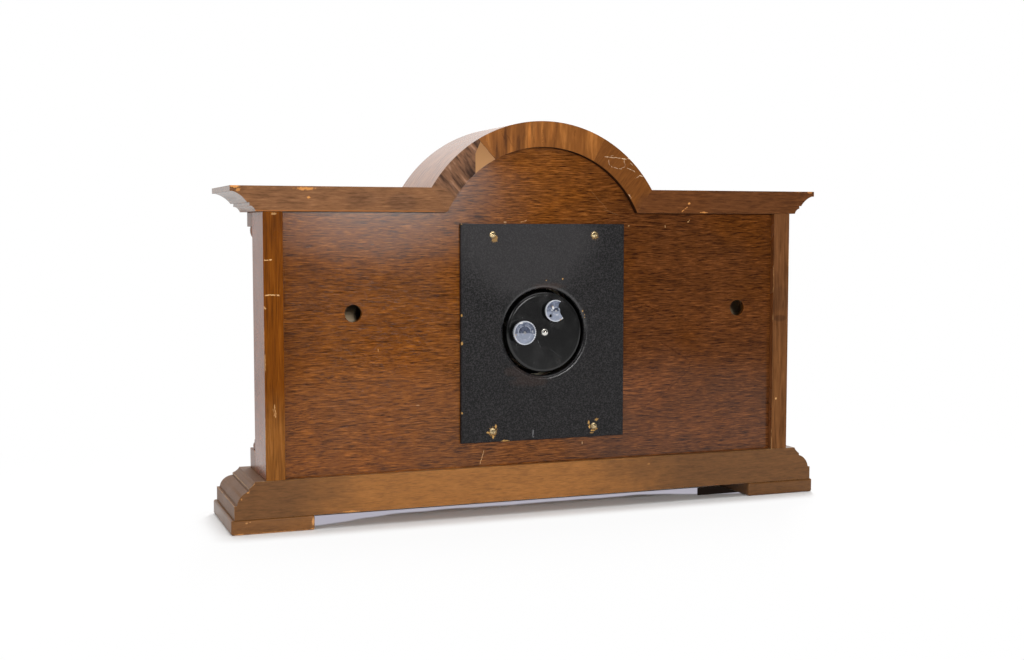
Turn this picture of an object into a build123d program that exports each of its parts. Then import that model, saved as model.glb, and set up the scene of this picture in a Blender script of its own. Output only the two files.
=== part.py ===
from build123d import *

import math
import os

# Mantel clock: an arched top on a broken cornice, corner columns, a moulded plinth on two foot blocks,
# and a mains movement in a round dust cover that is set and started by two knobs at the back.
# Millimetres. +Z is up, the dial faces -Y and the origin is on the floor under the middle of the clock.
# A depth is measured forwards from the back plane of the case.

# Case
BODY_WIDTH = 452.0
BODY_HEIGHT = 202.7
SIDE_THICKNESS = 15.0
SIDE_DEPTH = 46.0
BACK_RECESS = 5.0
BACK_PANEL_THICKNESS = 4.0
FRONT_PANEL_THICKNESS = 8.0
PANEL_CLEARANCE = 0.15
GLUE_BLOCK = 12.0
GLUE_BLOCK_HEIGHT = 160.0

# Feet
FOOT_HEIGHT = 11.5
FOOT_LENGTH = 63.5
FOOT_OVERHANG = 2.5
FOOT_ROUND = 1.6

# Plinth moulding, from the bottom up: fillet, ovolo, neck, cove and top edge
PLINTH_LEDGE_SIDE = 8.5
PLINTH_LEDGE_FRONT = 4.0
PLINTH_FILLET_RISE = 10.8
PLINTH_FILLET_RUN = 2.0
PLINTH_OVOLO_RISE = 10.5
PLINTH_OVOLO_RUN = 8.4
PLINTH_OVOLO_BULGE = 2.0
PLINTH_NECK_RISE = 1.9
PLINTH_NECK_RUN = 0.6
PLINTH_COVE_RISE = 4.6
PLINTH_COVE_RUN = 4.5
PLINTH_COVE_HOLLOW = 0.4
PLINTH_EDGE_RISE = 0.5

# Cornice moulding, from the soffit up: lip, small cove, band, large cove and top fillet
CORNICE_OVERHANG_SIDE = 4.0
CORNICE_OVERHANG_FRONT = 1.0
CORNICE_LIP_RUN = 1.2
CORNICE_SMALL_COVE_RISE = 4.2
CORNICE_SMALL_COVE_RUN = 3.4
CORNICE_SMALL_COVE_HOLLOW = 0.6
CORNICE_BAND_RISE = 2.4
CORNICE_BAND_RUN = 1.0
CORNICE_LARGE_COVE_RISE = 8.2
CORNICE_LARGE_COVE_RUN = 10.5
CORNICE_LARGE_COVE_HOLLOW = 1.2
CORNICE_STEP_RUN = 1.9
CORNICE_TOP_RISE = 4.2
CORNICE_TOP_RUN = 2.0

# Arch
ARCH_RADIUS = 110.5
ARCH_BAND = 20.5
ARCH_RISE = 53.6
ARCH_JOINT_ANGLE = 28.0

# Corner columns
COLUMN_BLOCK = 22.0
COLUMN_BASE_HEIGHT = 15.8
CAPITAL_HEIGHT = 11.3
COLUMN_SHAFT_RADIUS = 8.2
COLUMN_NECK_RADIUS = 7.0
COLUMN_TORUS_RADIUS = 10.4
COLUMN_TORUS_HEIGHT = 5.4
COLUMN_ECHINUS_RADIUS = 10.2
COLUMN_ECHINUS_HEIGHT = 10.6
COLUMN_ECHINUS_BULGE = 1.6
COLUMN_RING_HEIGHT = 2.0

# Back board fittings
DIAL_RISE = 106.7
REAR_PLATE_WIDTH = 141.0
REAR_PLATE_HEIGHT = 174.0
REAR_PLATE_THICKNESS = 3.5
REAR_PLATE_EDGE = 0.6
REAR_PLATE_GAP = 2.5
BACK_CUTOUT_WIDTH = 74.0
BACK_CUTOUT_HEIGHT = 142.0
REAR_SCREW_SPACING_X = 88.0
REAR_SCREW_SPACING_Z = 156.8
REAR_SCREW_HEAD_RADIUS = 2.8
REAR_SCREW_HEAD_HEIGHT = 1.8
REAR_SCREW_SHANK_RADIUS = 1.5
REAR_SCREW_BITE = 3.5
SCREW_SLOT_WIDTH = 0.8
SCREW_SLOT_DEPTH = 0.8
LEAD_HOLE_RADIUS = 6.7
LEAD_HOLE_RIGHT_X = 156.5
LEAD_HOLE_RIGHT_RISE = 124.9
LEAD_HOLE_LEFT_X = 178.6
LEAD_HOLE_LEFT_RISE = 122.8

# Movement frame
COVER_RADIUS = 32.5
COVER_SHEET = 0.8
COVER_ROUND = 2.5
COVER_FACE_DEPTH = 1.0
COVER_CLEARANCE = 0.4
LEAD_SLOT_RADIUS = 3.5
MOVEMENT_BACK_DEPTH = 5.0
PLATE_THICKNESS = 1.5
TRAIN_SPACE = 22.0
FRONT_PLATE_OVERHANG = 3.5
PILLAR_RADIUS = 1.8
PILLAR_CIRCLE_RADIUS = 28.8
PILLAR_COUNT = 3
PILLAR_SCREW_RADIUS = 1.0
PILLAR_SCREW_HEAD_RADIUS = 1.8
PILLAR_SCREW_HEAD_HEIGHT = 1.0
PILLAR_SCREW_LENGTH = 5.0
STUD_RADIUS = 1.5
STUD_FLANGE_RADIUS = 3.2
STUD_FLANGE_HEIGHT = 1.2
COVER_NUT_RADIUS = 3.1
COVER_NUT_SKIRT = 0.9
COVER_NUT_CROWN = 2.0
PIVOT_CLEARANCE = 0.05
SEAT_CLEARANCE = 0.02
SIDE_SHAKE = 0.2

# Motor
ROTOR_X = -7.5
ROTOR_RISE = 17.4
STATOR_RADIUS = 10.5
STATOR_SHEET = 0.8
STATOR_LENGTH = 9.0
POLE_CLAW_THICKNESS = 1.5
POLE_CLAW_LENGTH = 4.6
POLE_COUNT = 15
ROTOR_AIR_GAP = 0.5
ROTOR_LENGTH = 3.2
ROTOR_NOTCH = 0.9
COIL_LENGTH = 3.4
COIL_CORE_RADIUS = 3.0
COIL_FLANGE = 0.5
TERMINAL_WIDTH = 15.0
TERMINAL_HEIGHT = 9.0
TERMINAL_LENGTH = 8.0
TERMINAL_X = 16.0
TERMINAL_DROP = 16.5
TERMINAL_SCREW_RADIUS = 1.2
TERMINAL_SCREW_HEAD = 2.0
TERMINAL_SCREW_BITE = 4.0

# Going train
TRAIN_MODULE = 0.36
TRAIN_PINION_LEAVES = 6
TRAIN_WHEEL_TEETH = 60
CENTRE_WHEEL_TEETH = 72
TRAIN_RING = 15.0
TRAIN_FIRST_LAYER = 10.5
TRAIN_LAYER_PITCH = 2.6
TRAIN_WHEEL_THICKNESS = 0.7
TRAIN_PINION_LENGTH = 2.1
TRAIN_PINION_LEAD = 0.7
TRAIN_ARBOR_RADIUS = 0.55
TRAIN_PIVOT_RADIUS = 0.4
WHEEL_ARMS = 4
WHEEL_ARM_WIDTH = 1.6
WHEEL_RIM = 1.4
WHEEL_HUB_RADIUS = 2.6
ROTOR_ARBOR_RADIUS = 0.9
CENTRE_ARBOR_RADIUS = 1.2
CENTRE_PIVOT_RADIUS = 0.7
CLUTCH_RADIUS = 5.0
CLUTCH_SHEET = 0.3
CLUTCH_DISH = 0.7
CLUTCH_COLLAR_RADIUS = 2.4
CLUTCH_COLLAR_LENGTH = 0.8

# Tooth form, in modules and in shares of the tooth pitch
WHEEL_ADDENDUM = 0.9
WHEEL_DEDENDUM = 1.2
WHEEL_ROOT_SHARE = 0.56
WHEEL_TIP_SHARE = 0.24
LEAF_ADDENDUM = 0.6
LEAF_DEDENDUM = 1.3
LEAF_ROOT_SHARE = 0.36
LEAF_TIP_SHARE = 0.30

# Motion work and knobs
SETTING_X = 20.5
SETTING_RISE = 0.6
CANNON_LEAVES = 12
MINUTE_WHEEL_TEETH = 36
MINUTE_PINION_LEAVES = 10
HOUR_WHEEL_TEETH = 40
MOTION_WHEEL_THICKNESS = 1.2
MOTION_PINION_LENGTH = 3.5
MOTION_GAP = 1.0
CANNON_PIPE_RADIUS = 1.9
HOUR_PIPE_WALL = 0.95
SETTING_ARBOR_RADIUS = 1.2
SETTING_ARBOR_NOSE = 1.0
KNOB_RADIUS = 9.5
KNOB_PROUD = 9.0
KNOB_SKIRT_WALL = 1.3
KNOB_SKIRT_LENGTH = 2.6
KNOB_WEB = 1.5
KNOB_HUB_RADIUS = 3.5
KNOB_HUB_LENGTH = 7.4
KNOB_STANDOFF = 0.9
KNOB_FLUTES = 36
KNOB_FLUTE_RADIUS = 0.45
START_KNOB_RADIUS = 8.65
START_KNOB_WEB = 2.0
START_HUB_LENGTH = 4.4
START_HUB_RISE = 0.5
KNOB_BREAK_LOW = -46.0
KNOB_BREAK_HIGH = 57.0
KNOB_CHIP_RADIUS = 1.3
KNOB_CHIP_ANGLE = 222.0

# Dial, hands and bezel
DIAL_RADIUS = 80.0
DIAL_SHEET = 0.8
DIAL_BORE_GAP = 0.5
DIAL_FOOT_RADIUS = 1.7
DIAL_FOOT_CIRCLE_RADIUS = 33.0
DIAL_FOOT_COUNT = 3
PANEL_OPENING_GAP = 6.0
HAND_SHEET = 0.8
HOUR_HAND_LENGTH = 47.0
HOUR_HAND_WIDTH = 6.4
HOUR_HAND_SHOULDER = 0.62
MINUTE_HAND_LENGTH = 67.0
MINUTE_HAND_WIDTH = 4.4
MINUTE_HAND_SHOULDER = 0.72
HAND_TIP_WIDTH = 0.9
HAND_BOSS_RADIUS = 4.2
HAND_GAP = 1.4
HAND_NUT_RADIUS = 2.4
HAND_NUT_HEIGHT = 2.0
BEZEL_RADIUS = 89.0
BEZEL_SIGHT_RADIUS = 75.5
BEZEL_FLANGE = 1.6
BEZEL_FLANGE_WIDTH = 5.5
BEZEL_LIP = 1.4
BEZEL_CROWN = 2.6
BEZEL_CLEARANCE = 0.3
BEZEL_PIN_COUNT = 4
BEZEL_PIN_RADIUS = 0.8
BEZEL_PIN_HEAD = 1.7
BEZEL_PIN_CROWN = 1.2
BEZEL_PIN_BITE = 5.0
GLASS_SHEET = 1.8
GLASS_DOME = 7.0
GLASS_SEAT_WIDTH = 2.5
GLASS_RING_DEPTH = 4.4

# Levels and planes that follow from the sizes above
PLINTH_RUN = PLINTH_COVE_RUN + PLINTH_NECK_RUN + PLINTH_OVOLO_RUN + PLINTH_FILLET_RUN
PLINTH_HEIGHT = (
    PLINTH_FILLET_RISE + PLINTH_OVOLO_RISE + PLINTH_NECK_RISE + PLINTH_COVE_RISE + PLINTH_EDGE_RISE
)
CORNICE_HEIGHT = (
    CORNICE_SMALL_COVE_RISE + CORNICE_BAND_RISE + CORNICE_LARGE_COVE_RISE + CORNICE_TOP_RISE
)
CORNICE_RUN = (
    CORNICE_LIP_RUN + CORNICE_SMALL_COVE_RUN + CORNICE_BAND_RUN
    + CORNICE_STEP_RUN + CORNICE_LARGE_COVE_RUN + CORNICE_TOP_RUN
)
BODY_Z = FOOT_HEIGHT + PLINTH_HEIGHT
CORNICE_Z = BODY_Z + BODY_HEIGHT
CORNICE_TOP_Z = CORNICE_Z + CORNICE_HEIGHT
ARCH_Z = CORNICE_TOP_Z + ARCH_RISE - ARCH_RADIUS
ARCH_INNER_RADIUS = ARCH_RADIUS - ARCH_BAND
DIAL_Z = BODY_Z + DIAL_RISE
BODY_HALF = BODY_WIDTH / 2
INNER_HALF = BODY_HALF - SIDE_THICKNESS
COLUMN_FRONT = SIDE_DEPTH + COLUMN_BLOCK
COLUMN_X = BODY_HALF - COLUMN_BLOCK / 2
COLUMN_DEPTH = SIDE_DEPTH + COLUMN_BLOCK / 2
PLINTH_LEDGE_HALF = BODY_HALF + PLINTH_LEDGE_SIDE
PLINTH_LEDGE_DEPTH = COLUMN_FRONT + PLINTH_LEDGE_FRONT
PLINTH_HALF = PLINTH_LEDGE_HALF + PLINTH_RUN
PLINTH_DEPTH = PLINTH_LEDGE_DEPTH + PLINTH_RUN
CORNICE_SOFFIT_HALF = BODY_HALF + CORNICE_OVERHANG_SIDE
CORNICE_SOFFIT_DEPTH = COLUMN_FRONT + CORNICE_OVERHANG_FRONT
CORNICE_HALF = CORNICE_SOFFIT_HALF + CORNICE_RUN
CORNICE_DEPTH = CORNICE_SOFFIT_DEPTH + CORNICE_RUN
FOOT_HALF = PLINTH_HALF + FOOT_OVERHANG
FOOT_DEPTH = PLINTH_DEPTH + FOOT_OVERHANG
BACK_Y = (max(FOOT_DEPTH, CORNICE_DEPTH) - KNOB_PROUD) / 2
BACK_PANEL_FRONT = BACK_RECESS + BACK_PANEL_THICKNESS
FRONT_PANEL_BACK = SIDE_DEPTH - FRONT_PANEL_THICKNESS
REAR_PLATE_DEPTH = BACK_RECESS - REAR_PLATE_THICKNESS
REAR_HOLE_RADIUS = COVER_RADIUS + REAR_PLATE_GAP
TRAIN_BACK = MOVEMENT_BACK_DEPTH + PLATE_THICKNESS
TRAIN_FRONT = TRAIN_BACK + TRAIN_SPACE
MOVEMENT_FRONT = TRAIN_FRONT + PLATE_THICKNESS
COVER_INNER_RADIUS = COVER_RADIUS - COVER_SHEET
BACK_PLATE_RADIUS = COVER_INNER_RADIUS - COVER_CLEARANCE
FRONT_PLATE_RADIUS = COVER_RADIUS + FRONT_PLATE_OVERHANG
PANEL_OPENING_RADIUS = FRONT_PLATE_RADIUS + PANEL_OPENING_GAP
DIAL_FRONT = SIDE_DEPTH + DIAL_SHEET

# Motion work layers, forwards from the movement's front plate
CANNON_DEPTH = MOVEMENT_FRONT + MOTION_GAP
MINUTE_WHEEL_DEPTH = CANNON_DEPTH + MOTION_GAP
MINUTE_PINION_DEPTH = MINUTE_WHEEL_DEPTH + MOTION_WHEEL_THICKNESS
HOUR_WHEEL_DEPTH = CANNON_DEPTH + MOTION_PINION_LENGTH + MOTION_GAP / 2
SETTING_NOSE_DEPTH = MINUTE_PINION_DEPTH + MOTION_PINION_LENGTH + SETTING_ARBOR_NOSE
HOUR_PIPE_RADIUS = CANNON_PIPE_RADIUS + PIVOT_CLEARANCE + HOUR_PIPE_WALL
HOUR_HAND_DEPTH = DIAL_FRONT + HAND_GAP
HOUR_PIPE_END = HOUR_HAND_DEPTH + HAND_SHEET
MINUTE_HAND_DEPTH = HOUR_PIPE_END + HAND_GAP
CANNON_END = MINUTE_HAND_DEPTH + HAND_SHEET
CENTRE_ARBOR_END = CANNON_END + HAND_NUT_HEIGHT / 2
GLASS_SEAT_DEPTH = DIAL_FRONT + GLASS_RING_DEPTH
GLASS_RADIUS = BEZEL_SIGHT_RADIUS + GLASS_SEAT_WIDTH


def at(depth, x=0.0, z=DIAL_Z):
    """Plane square to the depth, with sketch axes X and Z, that extrudes forwards."""
    return Plane(origin=(x, BACK_Y - depth, z), x_dir=(1, 0, 0), z_dir=(0, -1, 0))


def disc(radius, depth, length, x=0.0, z=DIAL_Z):
    """Round rod along the depth."""
    return extrude(at(depth, x, z) * Circle(radius), length)


def tube(radius, bore, depth, length, x=0.0, z=DIAL_Z):
    """Round tube or holed disc along the depth."""
    return extrude(at(depth, x, z) * (Circle(radius) - Circle(bore)), length)


def board(x_low, x_high, depth_low, depth_high, z_low, z_high):
    """Square-edged board between two corners."""
    size = (x_high - x_low, depth_high - depth_low, z_high - z_low)
    middle = ((x_low + x_high) / 2, BACK_Y - (depth_low + depth_high) / 2, (z_low + z_high) / 2)
    return Pos(*middle) * Box(*size)


def turned(section, x=0.0, z=DIAL_Z):
    """Revolve a section drawn as (radius, depth) about an axis along the depth."""
    plane = Plane(origin=(x, BACK_Y, z), x_dir=(1, 0, 0), z_dir=(0, 0, -1))
    return revolve(plane * section, Axis((x, BACK_Y, z), (0, 1, 0)))


def polygon(points):
    """Straight-sided face."""
    return make_face(Polyline(*points, close=True))


def bowed(start, end, hollow):
    """Arc from start to end, bowed to the left of the way it runs by its hollow."""
    run = end[0] - start[0]
    rise = end[1] - start[1]
    chord = math.hypot(run, rise)
    middle = (
        (start[0] + end[0]) / 2 - rise / chord * hollow,
        (start[1] + end[1]) / 2 + run / chord * hollow,
    )
    return ThreePointArc(start, middle, end)


def cap_rise(radius, crown, share):
    """Rise of a round cap above its rim, at a share of the rim's radius."""
    height = abs(crown)
    sphere = (radius**2 + height**2) / (2 * height)
    rise = math.sqrt(sphere**2 - (radius * share) ** 2) - (sphere - height)
    return math.copysign(rise, crown)


def cap_arc(radius, rim, crown):
    """Arc from the rim of a round cap to its crown on the axis, as (radius, depth)."""
    return ThreePointArc((radius, rim), (radius / 2, rim + cap_rise(radius, crown, 0.5)), (0, rim + crown))


def cap_section(radius, rim, crown):
    """Half section of a solid round cap, as (radius, depth)."""
    return make_face([
        Line((0, rim), (radius, rim)),
        cap_arc(radius, rim, crown),
        Line((0, rim + crown), (0, rim)),
    ])


def polar(radius, degrees):
    """Point at an angle from the X axis."""
    angle = math.radians(degrees)
    return (radius * math.cos(angle), radius * math.sin(angle))


# Case boards and mouldings

def plinth_waste():
    """Section of the wood planed off the plinth's edge, as (run past the ledge, rise)."""
    cove_foot = PLINTH_HEIGHT - PLINTH_EDGE_RISE - PLINTH_COVE_RISE
    neck_foot = cove_foot - PLINTH_NECK_RISE
    ovolo_top = (PLINTH_COVE_RUN + PLINTH_NECK_RUN, neck_foot)
    ovolo_foot = (PLINTH_RUN - PLINTH_FILLET_RUN, PLINTH_FILLET_RISE)
    cove_start = (PLINTH_COVE_RUN, cove_foot)
    cove_end = (0, cove_foot + PLINTH_COVE_RISE)
    past = PLINTH_RUN + FOOT_OVERHANG
    above = PLINTH_HEIGHT + FOOT_OVERHANG
    return make_face([
        Line((past, PLINTH_FILLET_RISE), ovolo_foot),
        bowed(ovolo_foot, ovolo_top, -PLINTH_OVOLO_BULGE),
        Line(ovolo_top, (PLINTH_COVE_RUN, neck_foot)),
        Line((PLINTH_COVE_RUN, neck_foot), cove_start),
        bowed(cove_start, cove_end, PLINTH_COVE_HOLLOW),
        Line(cove_end, (0, above)),
        Line((0, above), (past, above)),
        Line((past, above), (past, PLINTH_FILLET_RISE)),
    ])


def cornice_waste(height):
    """Section of the wood planed off the cornice's edge, as (run past the soffit, rise)."""
    stretch = height / CORNICE_HEIGHT
    small_foot = (CORNICE_LIP_RUN, 0)
    small_top = (CORNICE_LIP_RUN + CORNICE_SMALL_COVE_RUN, CORNICE_SMALL_COVE_RISE * stretch)
    band_run = small_top[0] + CORNICE_BAND_RUN
    band_top = small_top[1] + CORNICE_BAND_RISE * stretch
    large_foot = (band_run + CORNICE_STEP_RUN, band_top)
    large_top = (large_foot[0] + CORNICE_LARGE_COVE_RUN, band_top + CORNICE_LARGE_COVE_RISE * stretch)
    past = CORNICE_RUN + CORNICE_TOP_RUN
    below = -CORNICE_TOP_RUN
    return make_face([
        Line((CORNICE_LIP_RUN, below), small_foot),
        bowed(small_foot, small_top, CORNICE_SMALL_COVE_HOLLOW),
        Line(small_top, (band_run, small_top[1])),
        Line((band_run, small_top[1]), (band_run, band_top)),
        Line((band_run, band_top), large_foot),
        bowed(large_foot, large_top, CORNICE_LARGE_COVE_HOLLOW),
        Line(large_top, (past, large_top[1])),
        Line((past, large_top[1]), (past, below)),
        Line((past, below), (CORNICE_LIP_RUN, below)),
    ])


def edge_cut(waste, half, depth, z, length):
    """Planed-off wood along the front edge and along both end edges of a moulded board."""
    front = Plane(origin=(0, BACK_Y - depth, z), x_dir=(0, -1, 0), z_dir=(-1, 0, 0))
    right = Plane(origin=(half, BACK_Y, z), x_dir=(1, 0, 0), z_dir=(0, -1, 0))
    left = Plane(origin=(-half, BACK_Y, z), x_dir=(-1, 0, 0), z_dir=(0, 1, 0))
    return [extrude(plane * waste, length, both=True) for plane in (front, right, left)]


def foot(side):
    """Foot block under one end of the plinth, rounded all over its edges."""
    outer = side * FOOT_HALF
    inner = side * (FOOT_HALF - FOOT_LENGTH)
    block = board(min(outer, inner), max(outer, inner), 0, FOOT_DEPTH, 0, FOOT_HEIGHT)
    return fillet(block.edges(), FOOT_ROUND)


def plinth():
    """Moulded plinth board, moulded along its front and both ends."""
    blank = board(-PLINTH_HALF, PLINTH_HALF, 0, PLINTH_DEPTH, FOOT_HEIGHT, BODY_Z)
    cuts = edge_cut(plinth_waste(), PLINTH_LEDGE_HALF, PLINTH_LEDGE_DEPTH, FOOT_HEIGHT, PLINTH_HALF * 2)
    return blank - cuts


def side_board(side):
    """Side of the body, whose back edge is the stile beside the back panel."""
    low, high = sorted((side * INNER_HALF, side * BODY_HALF))
    return board(low, high, 0, SIDE_DEPTH, BODY_Z, CORNICE_Z)


def panel_face():
    """Outline shared by the back and front panels: the body's inside with the arch above it."""
    body = Pos(0, (BODY_Z + CORNICE_Z) / 2 - DIAL_Z) * Rectangle(INNER_HALF * 2, BODY_HEIGHT)
    return body + Pos(0, ARCH_Z - DIAL_Z) * Circle(ARCH_INNER_RADIUS - PANEL_CLEARANCE)


def rear_screw_places():
    """Places of the rear plate's screws about the dial's centre."""
    return GridLocations(REAR_SCREW_SPACING_X, REAR_SCREW_SPACING_Z, 2, 2)


def back_panel():
    """Plywood back, recessed between the stiles, cut out behind the rear plate."""
    face = panel_face() - Rectangle(BACK_CUTOUT_WIDTH, BACK_CUTOUT_HEIGHT)
    face -= rear_screw_places() * Circle(REAR_SCREW_SHANK_RADIUS + SEAT_CLEARANCE)
    face -= Pos(LEAD_HOLE_RIGHT_X, LEAD_HOLE_RIGHT_RISE - DIAL_RISE) * Circle(LEAD_HOLE_RADIUS)
    face -= Pos(-LEAD_HOLE_LEFT_X, LEAD_HOLE_LEFT_RISE - DIAL_RISE) * Circle(LEAD_HOLE_RADIUS)
    return extrude(at(BACK_RECESS) * face, BACK_PANEL_THICKNESS)


def front_panel():
    """Front of the body behind the dial, with the opening that the movement passes through."""
    face = panel_face() - Circle(PANEL_OPENING_RADIUS)
    face -= bezel_pin_places() * Circle(BEZEL_PIN_RADIUS + SEAT_CLEARANCE)
    return extrude(at(FRONT_PANEL_BACK) * face, FRONT_PANEL_THICKNESS)


def glue_blocks():
    """Three-cornered blocks behind the front panel and square battens before the back panel."""
    low = (BODY_Z + CORNICE_Z - GLUE_BLOCK_HEIGHT) / 2
    blocks = []
    for side in (-1, 1):
        corner = (side * INNER_HALF, BACK_Y - FRONT_PANEL_BACK)
        wedge = polygon([
            corner,
            (corner[0] - side * GLUE_BLOCK, corner[1]),
            (corner[0], corner[1] + GLUE_BLOCK),
        ])
        blocks.append(extrude(Pos(0, 0, low) * wedge, GLUE_BLOCK_HEIGHT, dir=(0, 0, 1)))
        edge_low, edge_high = sorted((side * INNER_HALF, side * (INNER_HALF - GLUE_BLOCK)))
        batten_front = BACK_PANEL_FRONT + GLUE_BLOCK
        top = low + GLUE_BLOCK_HEIGHT
        blocks.append(board(edge_low, edge_high, BACK_PANEL_FRONT, batten_front, low, top))
    return Compound(children=[block.solid() for block in blocks])


def mitre_points():
    """Where the arch meets the cornice on the right: at the soffit, and at the top."""
    soffit_rise = CORNICE_Z - ARCH_Z
    top_rise = CORNICE_TOP_Z - ARCH_Z
    soffit = (math.sqrt(ARCH_INNER_RADIUS**2 - soffit_rise**2), soffit_rise)
    top = (math.sqrt(ARCH_RADIUS**2 - top_rise**2), top_rise)
    return soffit, top


def past_mitre(reach):
    """The mitre line run on past both its ends."""
    soffit, top = mitre_points()
    length = math.hypot(top[0] - soffit[0], top[1] - soffit[1])
    way = ((top[0] - soffit[0]) / length, (top[1] - soffit[1]) / length)
    low = (soffit[0] - way[0] * reach, soffit[1] - way[1] * reach)
    high = (top[0] + way[0] * reach, top[1] + way[1] * reach)
    return low, high


def through_depth(face):
    """Prism through the whole depth of the case, of a face drawn about the arch's centre."""
    return extrude(at(-CORNICE_DEPTH, 0, ARCH_Z) * face, CORNICE_DEPTH * 3)


def cornice(side):
    """Moulded cornice board on one side, mitred to the arch."""
    blank = board(0, CORNICE_HALF, 0, CORNICE_DEPTH, CORNICE_Z, CORNICE_TOP_Z)
    waste = cornice_waste(CORNICE_HEIGHT)
    blank -= edge_cut(waste, CORNICE_SOFFIT_HALF, CORNICE_SOFFIT_DEPTH, CORNICE_Z, CORNICE_HALF * 2)
    low, high = past_mitre(ARCH_BAND)
    arch_side = polygon([low, high, (-ARCH_RADIUS, high[1]), (-ARCH_RADIUS, low[1])])
    moulded = (blank - through_depth(arch_side)).solid()
    return moulded if side > 0 else mirror(moulded, Plane.YZ)


def arch_ring():
    """Whole ring that the arch's segments are cut from, moulded along its front edge."""
    blank = polygon([
        (ARCH_INNER_RADIUS, 0),
        (ARCH_RADIUS, 0),
        (ARCH_RADIUS, CORNICE_DEPTH),
        (ARCH_INNER_RADIUS, CORNICE_DEPTH),
    ])
    ring = turned(blank, 0, ARCH_Z)
    soffit = (0, BACK_Y - CORNICE_SOFFIT_DEPTH, ARCH_Z + ARCH_INNER_RADIUS)
    front = Plane(origin=soffit, x_dir=(0, -1, 0), z_dir=(-1, 0, 0))
    return ring - revolve(front * cornice_waste(ARCH_BAND), Axis((0, BACK_Y, ARCH_Z), (0, 1, 0)))


def arch_segment(side):
    """Haunch of the arch, from its mitre on the cornice to the crown's glue joint."""
    joint = 90 - ARCH_JOINT_ANGLE
    low, high = past_mitre(PANEL_CLEARANCE * ARCH_BAND)
    springing = math.degrees(math.atan2(high[1], high[0]))
    beyond = ARCH_RADIUS + ARCH_BAND
    wedge = polygon([
        low,
        high,
        polar(beyond, (joint * 1 + springing * 2) / 3),
        polar(beyond, (joint * 2 + springing * 1) / 3),
        polar(beyond, joint),
        polar(ARCH_INNER_RADIUS - PANEL_CLEARANCE * ARCH_BAND, joint),
    ])
    segment = (arch_ring() & through_depth(wedge)).solid()
    return segment if side > 0 else mirror(segment, Plane.YZ)


def arch_crown():
    """Middle segment of the arch, glued between the two haunches."""
    joint = 90 - ARCH_JOINT_ANGLE
    beyond = ARCH_RADIUS + ARCH_BAND
    inside = ARCH_INNER_RADIUS - PANEL_CLEARANCE * ARCH_BAND
    wedge = polygon([
        polar(inside, joint),
        polar(beyond, joint),
        (0, beyond + ARCH_BAND),
        polar(beyond, 180 - joint),
        polar(inside, 180 - joint),
    ])
    return (arch_ring() & through_depth(wedge)).solid()


def column_block(side, z, height):
    """Square block at the foot or the head of a corner column."""
    low, high = sorted((side * BODY_HALF, side * (BODY_HALF - COLUMN_BLOCK)))
    return board(low, high, SIDE_DEPTH, COLUMN_FRONT, z, z + height)


def column_shaft(side):
    """Turned column between its base and its capital: torus, ring, tapered shaft, ring and echinus."""
    foot_z = BODY_Z + COLUMN_BASE_HEIGHT
    head_z = CORNICE_Z - CAPITAL_HEIGHT
    torus_top = foot_z + COLUMN_TORUS_HEIGHT
    ring_top = torus_top + COLUMN_RING_HEIGHT
    echinus_foot = head_z - COLUMN_ECHINUS_HEIGHT
    neck_foot = echinus_foot - COLUMN_RING_HEIGHT
    ring_radius = (COLUMN_SHAFT_RADIUS + COLUMN_TORUS_RADIUS) / 2
    torus_bulge = COLUMN_TORUS_RADIUS - ring_radius
    neck_bulge = COLUMN_RING_HEIGHT / 2
    section = make_face([
        Line((0, foot_z), (ring_radius, foot_z)),
        bowed((ring_radius, foot_z), (ring_radius, torus_top), -torus_bulge),
        Line((ring_radius, torus_top), (ring_radius, ring_top)),
        Line((ring_radius, ring_top), (COLUMN_SHAFT_RADIUS, ring_top)),
        Line((COLUMN_SHAFT_RADIUS, ring_top), (COLUMN_NECK_RADIUS, neck_foot)),
        bowed((COLUMN_NECK_RADIUS, neck_foot), (COLUMN_NECK_RADIUS, echinus_foot), -neck_bulge),
        bowed((COLUMN_NECK_RADIUS, echinus_foot), (COLUMN_ECHINUS_RADIUS, head_z), -COLUMN_ECHINUS_BULGE),
        Line((COLUMN_ECHINUS_RADIUS, head_z), (0, head_z)),
        Line((0, head_z), (0, foot_z)),
    ])
    x = side * COLUMN_X
    y = BACK_Y - COLUMN_DEPTH
    plane = Plane(origin=(x, y, 0), x_dir=(1, 0, 0), z_dir=(0, -1, 0))
    return revolve(plane * section, Axis((x, y, 0), (0, 0, 1)))


# Rear plate and its screws

def rear_plate():
    """Hardboard plate over the back panel's cut-out, its round hole eased over at the rear."""
    face = Rectangle(REAR_PLATE_WIDTH, REAR_PLATE_HEIGHT)
    face -= Circle(REAR_HOLE_RADIUS)
    face -= rear_screw_places() * Circle(REAR_SCREW_SHANK_RADIUS + SEAT_CLEARANCE)
    plate = extrude(at(REAR_PLATE_DEPTH) * face, REAR_PLATE_THICKNESS)
    rear_edges = plate.faces().sort_by(Axis.Y)[-1].edges()
    mouth = [edge for edge in rear_edges.filter_by(GeomType.CIRCLE) if edge.radius > REAR_SCREW_HEAD_RADIUS]
    plate = fillet(mouth, REAR_PLATE_THICKNESS - REAR_PLATE_EDGE)
    outline = plate.faces().sort_by(Axis.Y)[-1].edges().filter_by(GeomType.LINE)
    return chamfer(outline, REAR_PLATE_EDGE)


def slotted_screw(head_radius, head_height, shank_radius, length, seat, x, z, slot_angle):
    """Round-head slotted screw whose head sits behind a seat depth and whose shank runs forwards."""
    head = turned(cap_section(head_radius, seat, -head_height), x, z)
    screw = head + disc(shank_radius, seat, length, x, z)
    slot = Rectangle(head_radius * 3, SCREW_SLOT_WIDTH)
    slot_plane = at(seat - head_height, x, z)
    return screw - extrude(slot_plane * (Rot(0, 0, slot_angle) * slot), SCREW_SLOT_DEPTH)


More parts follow.
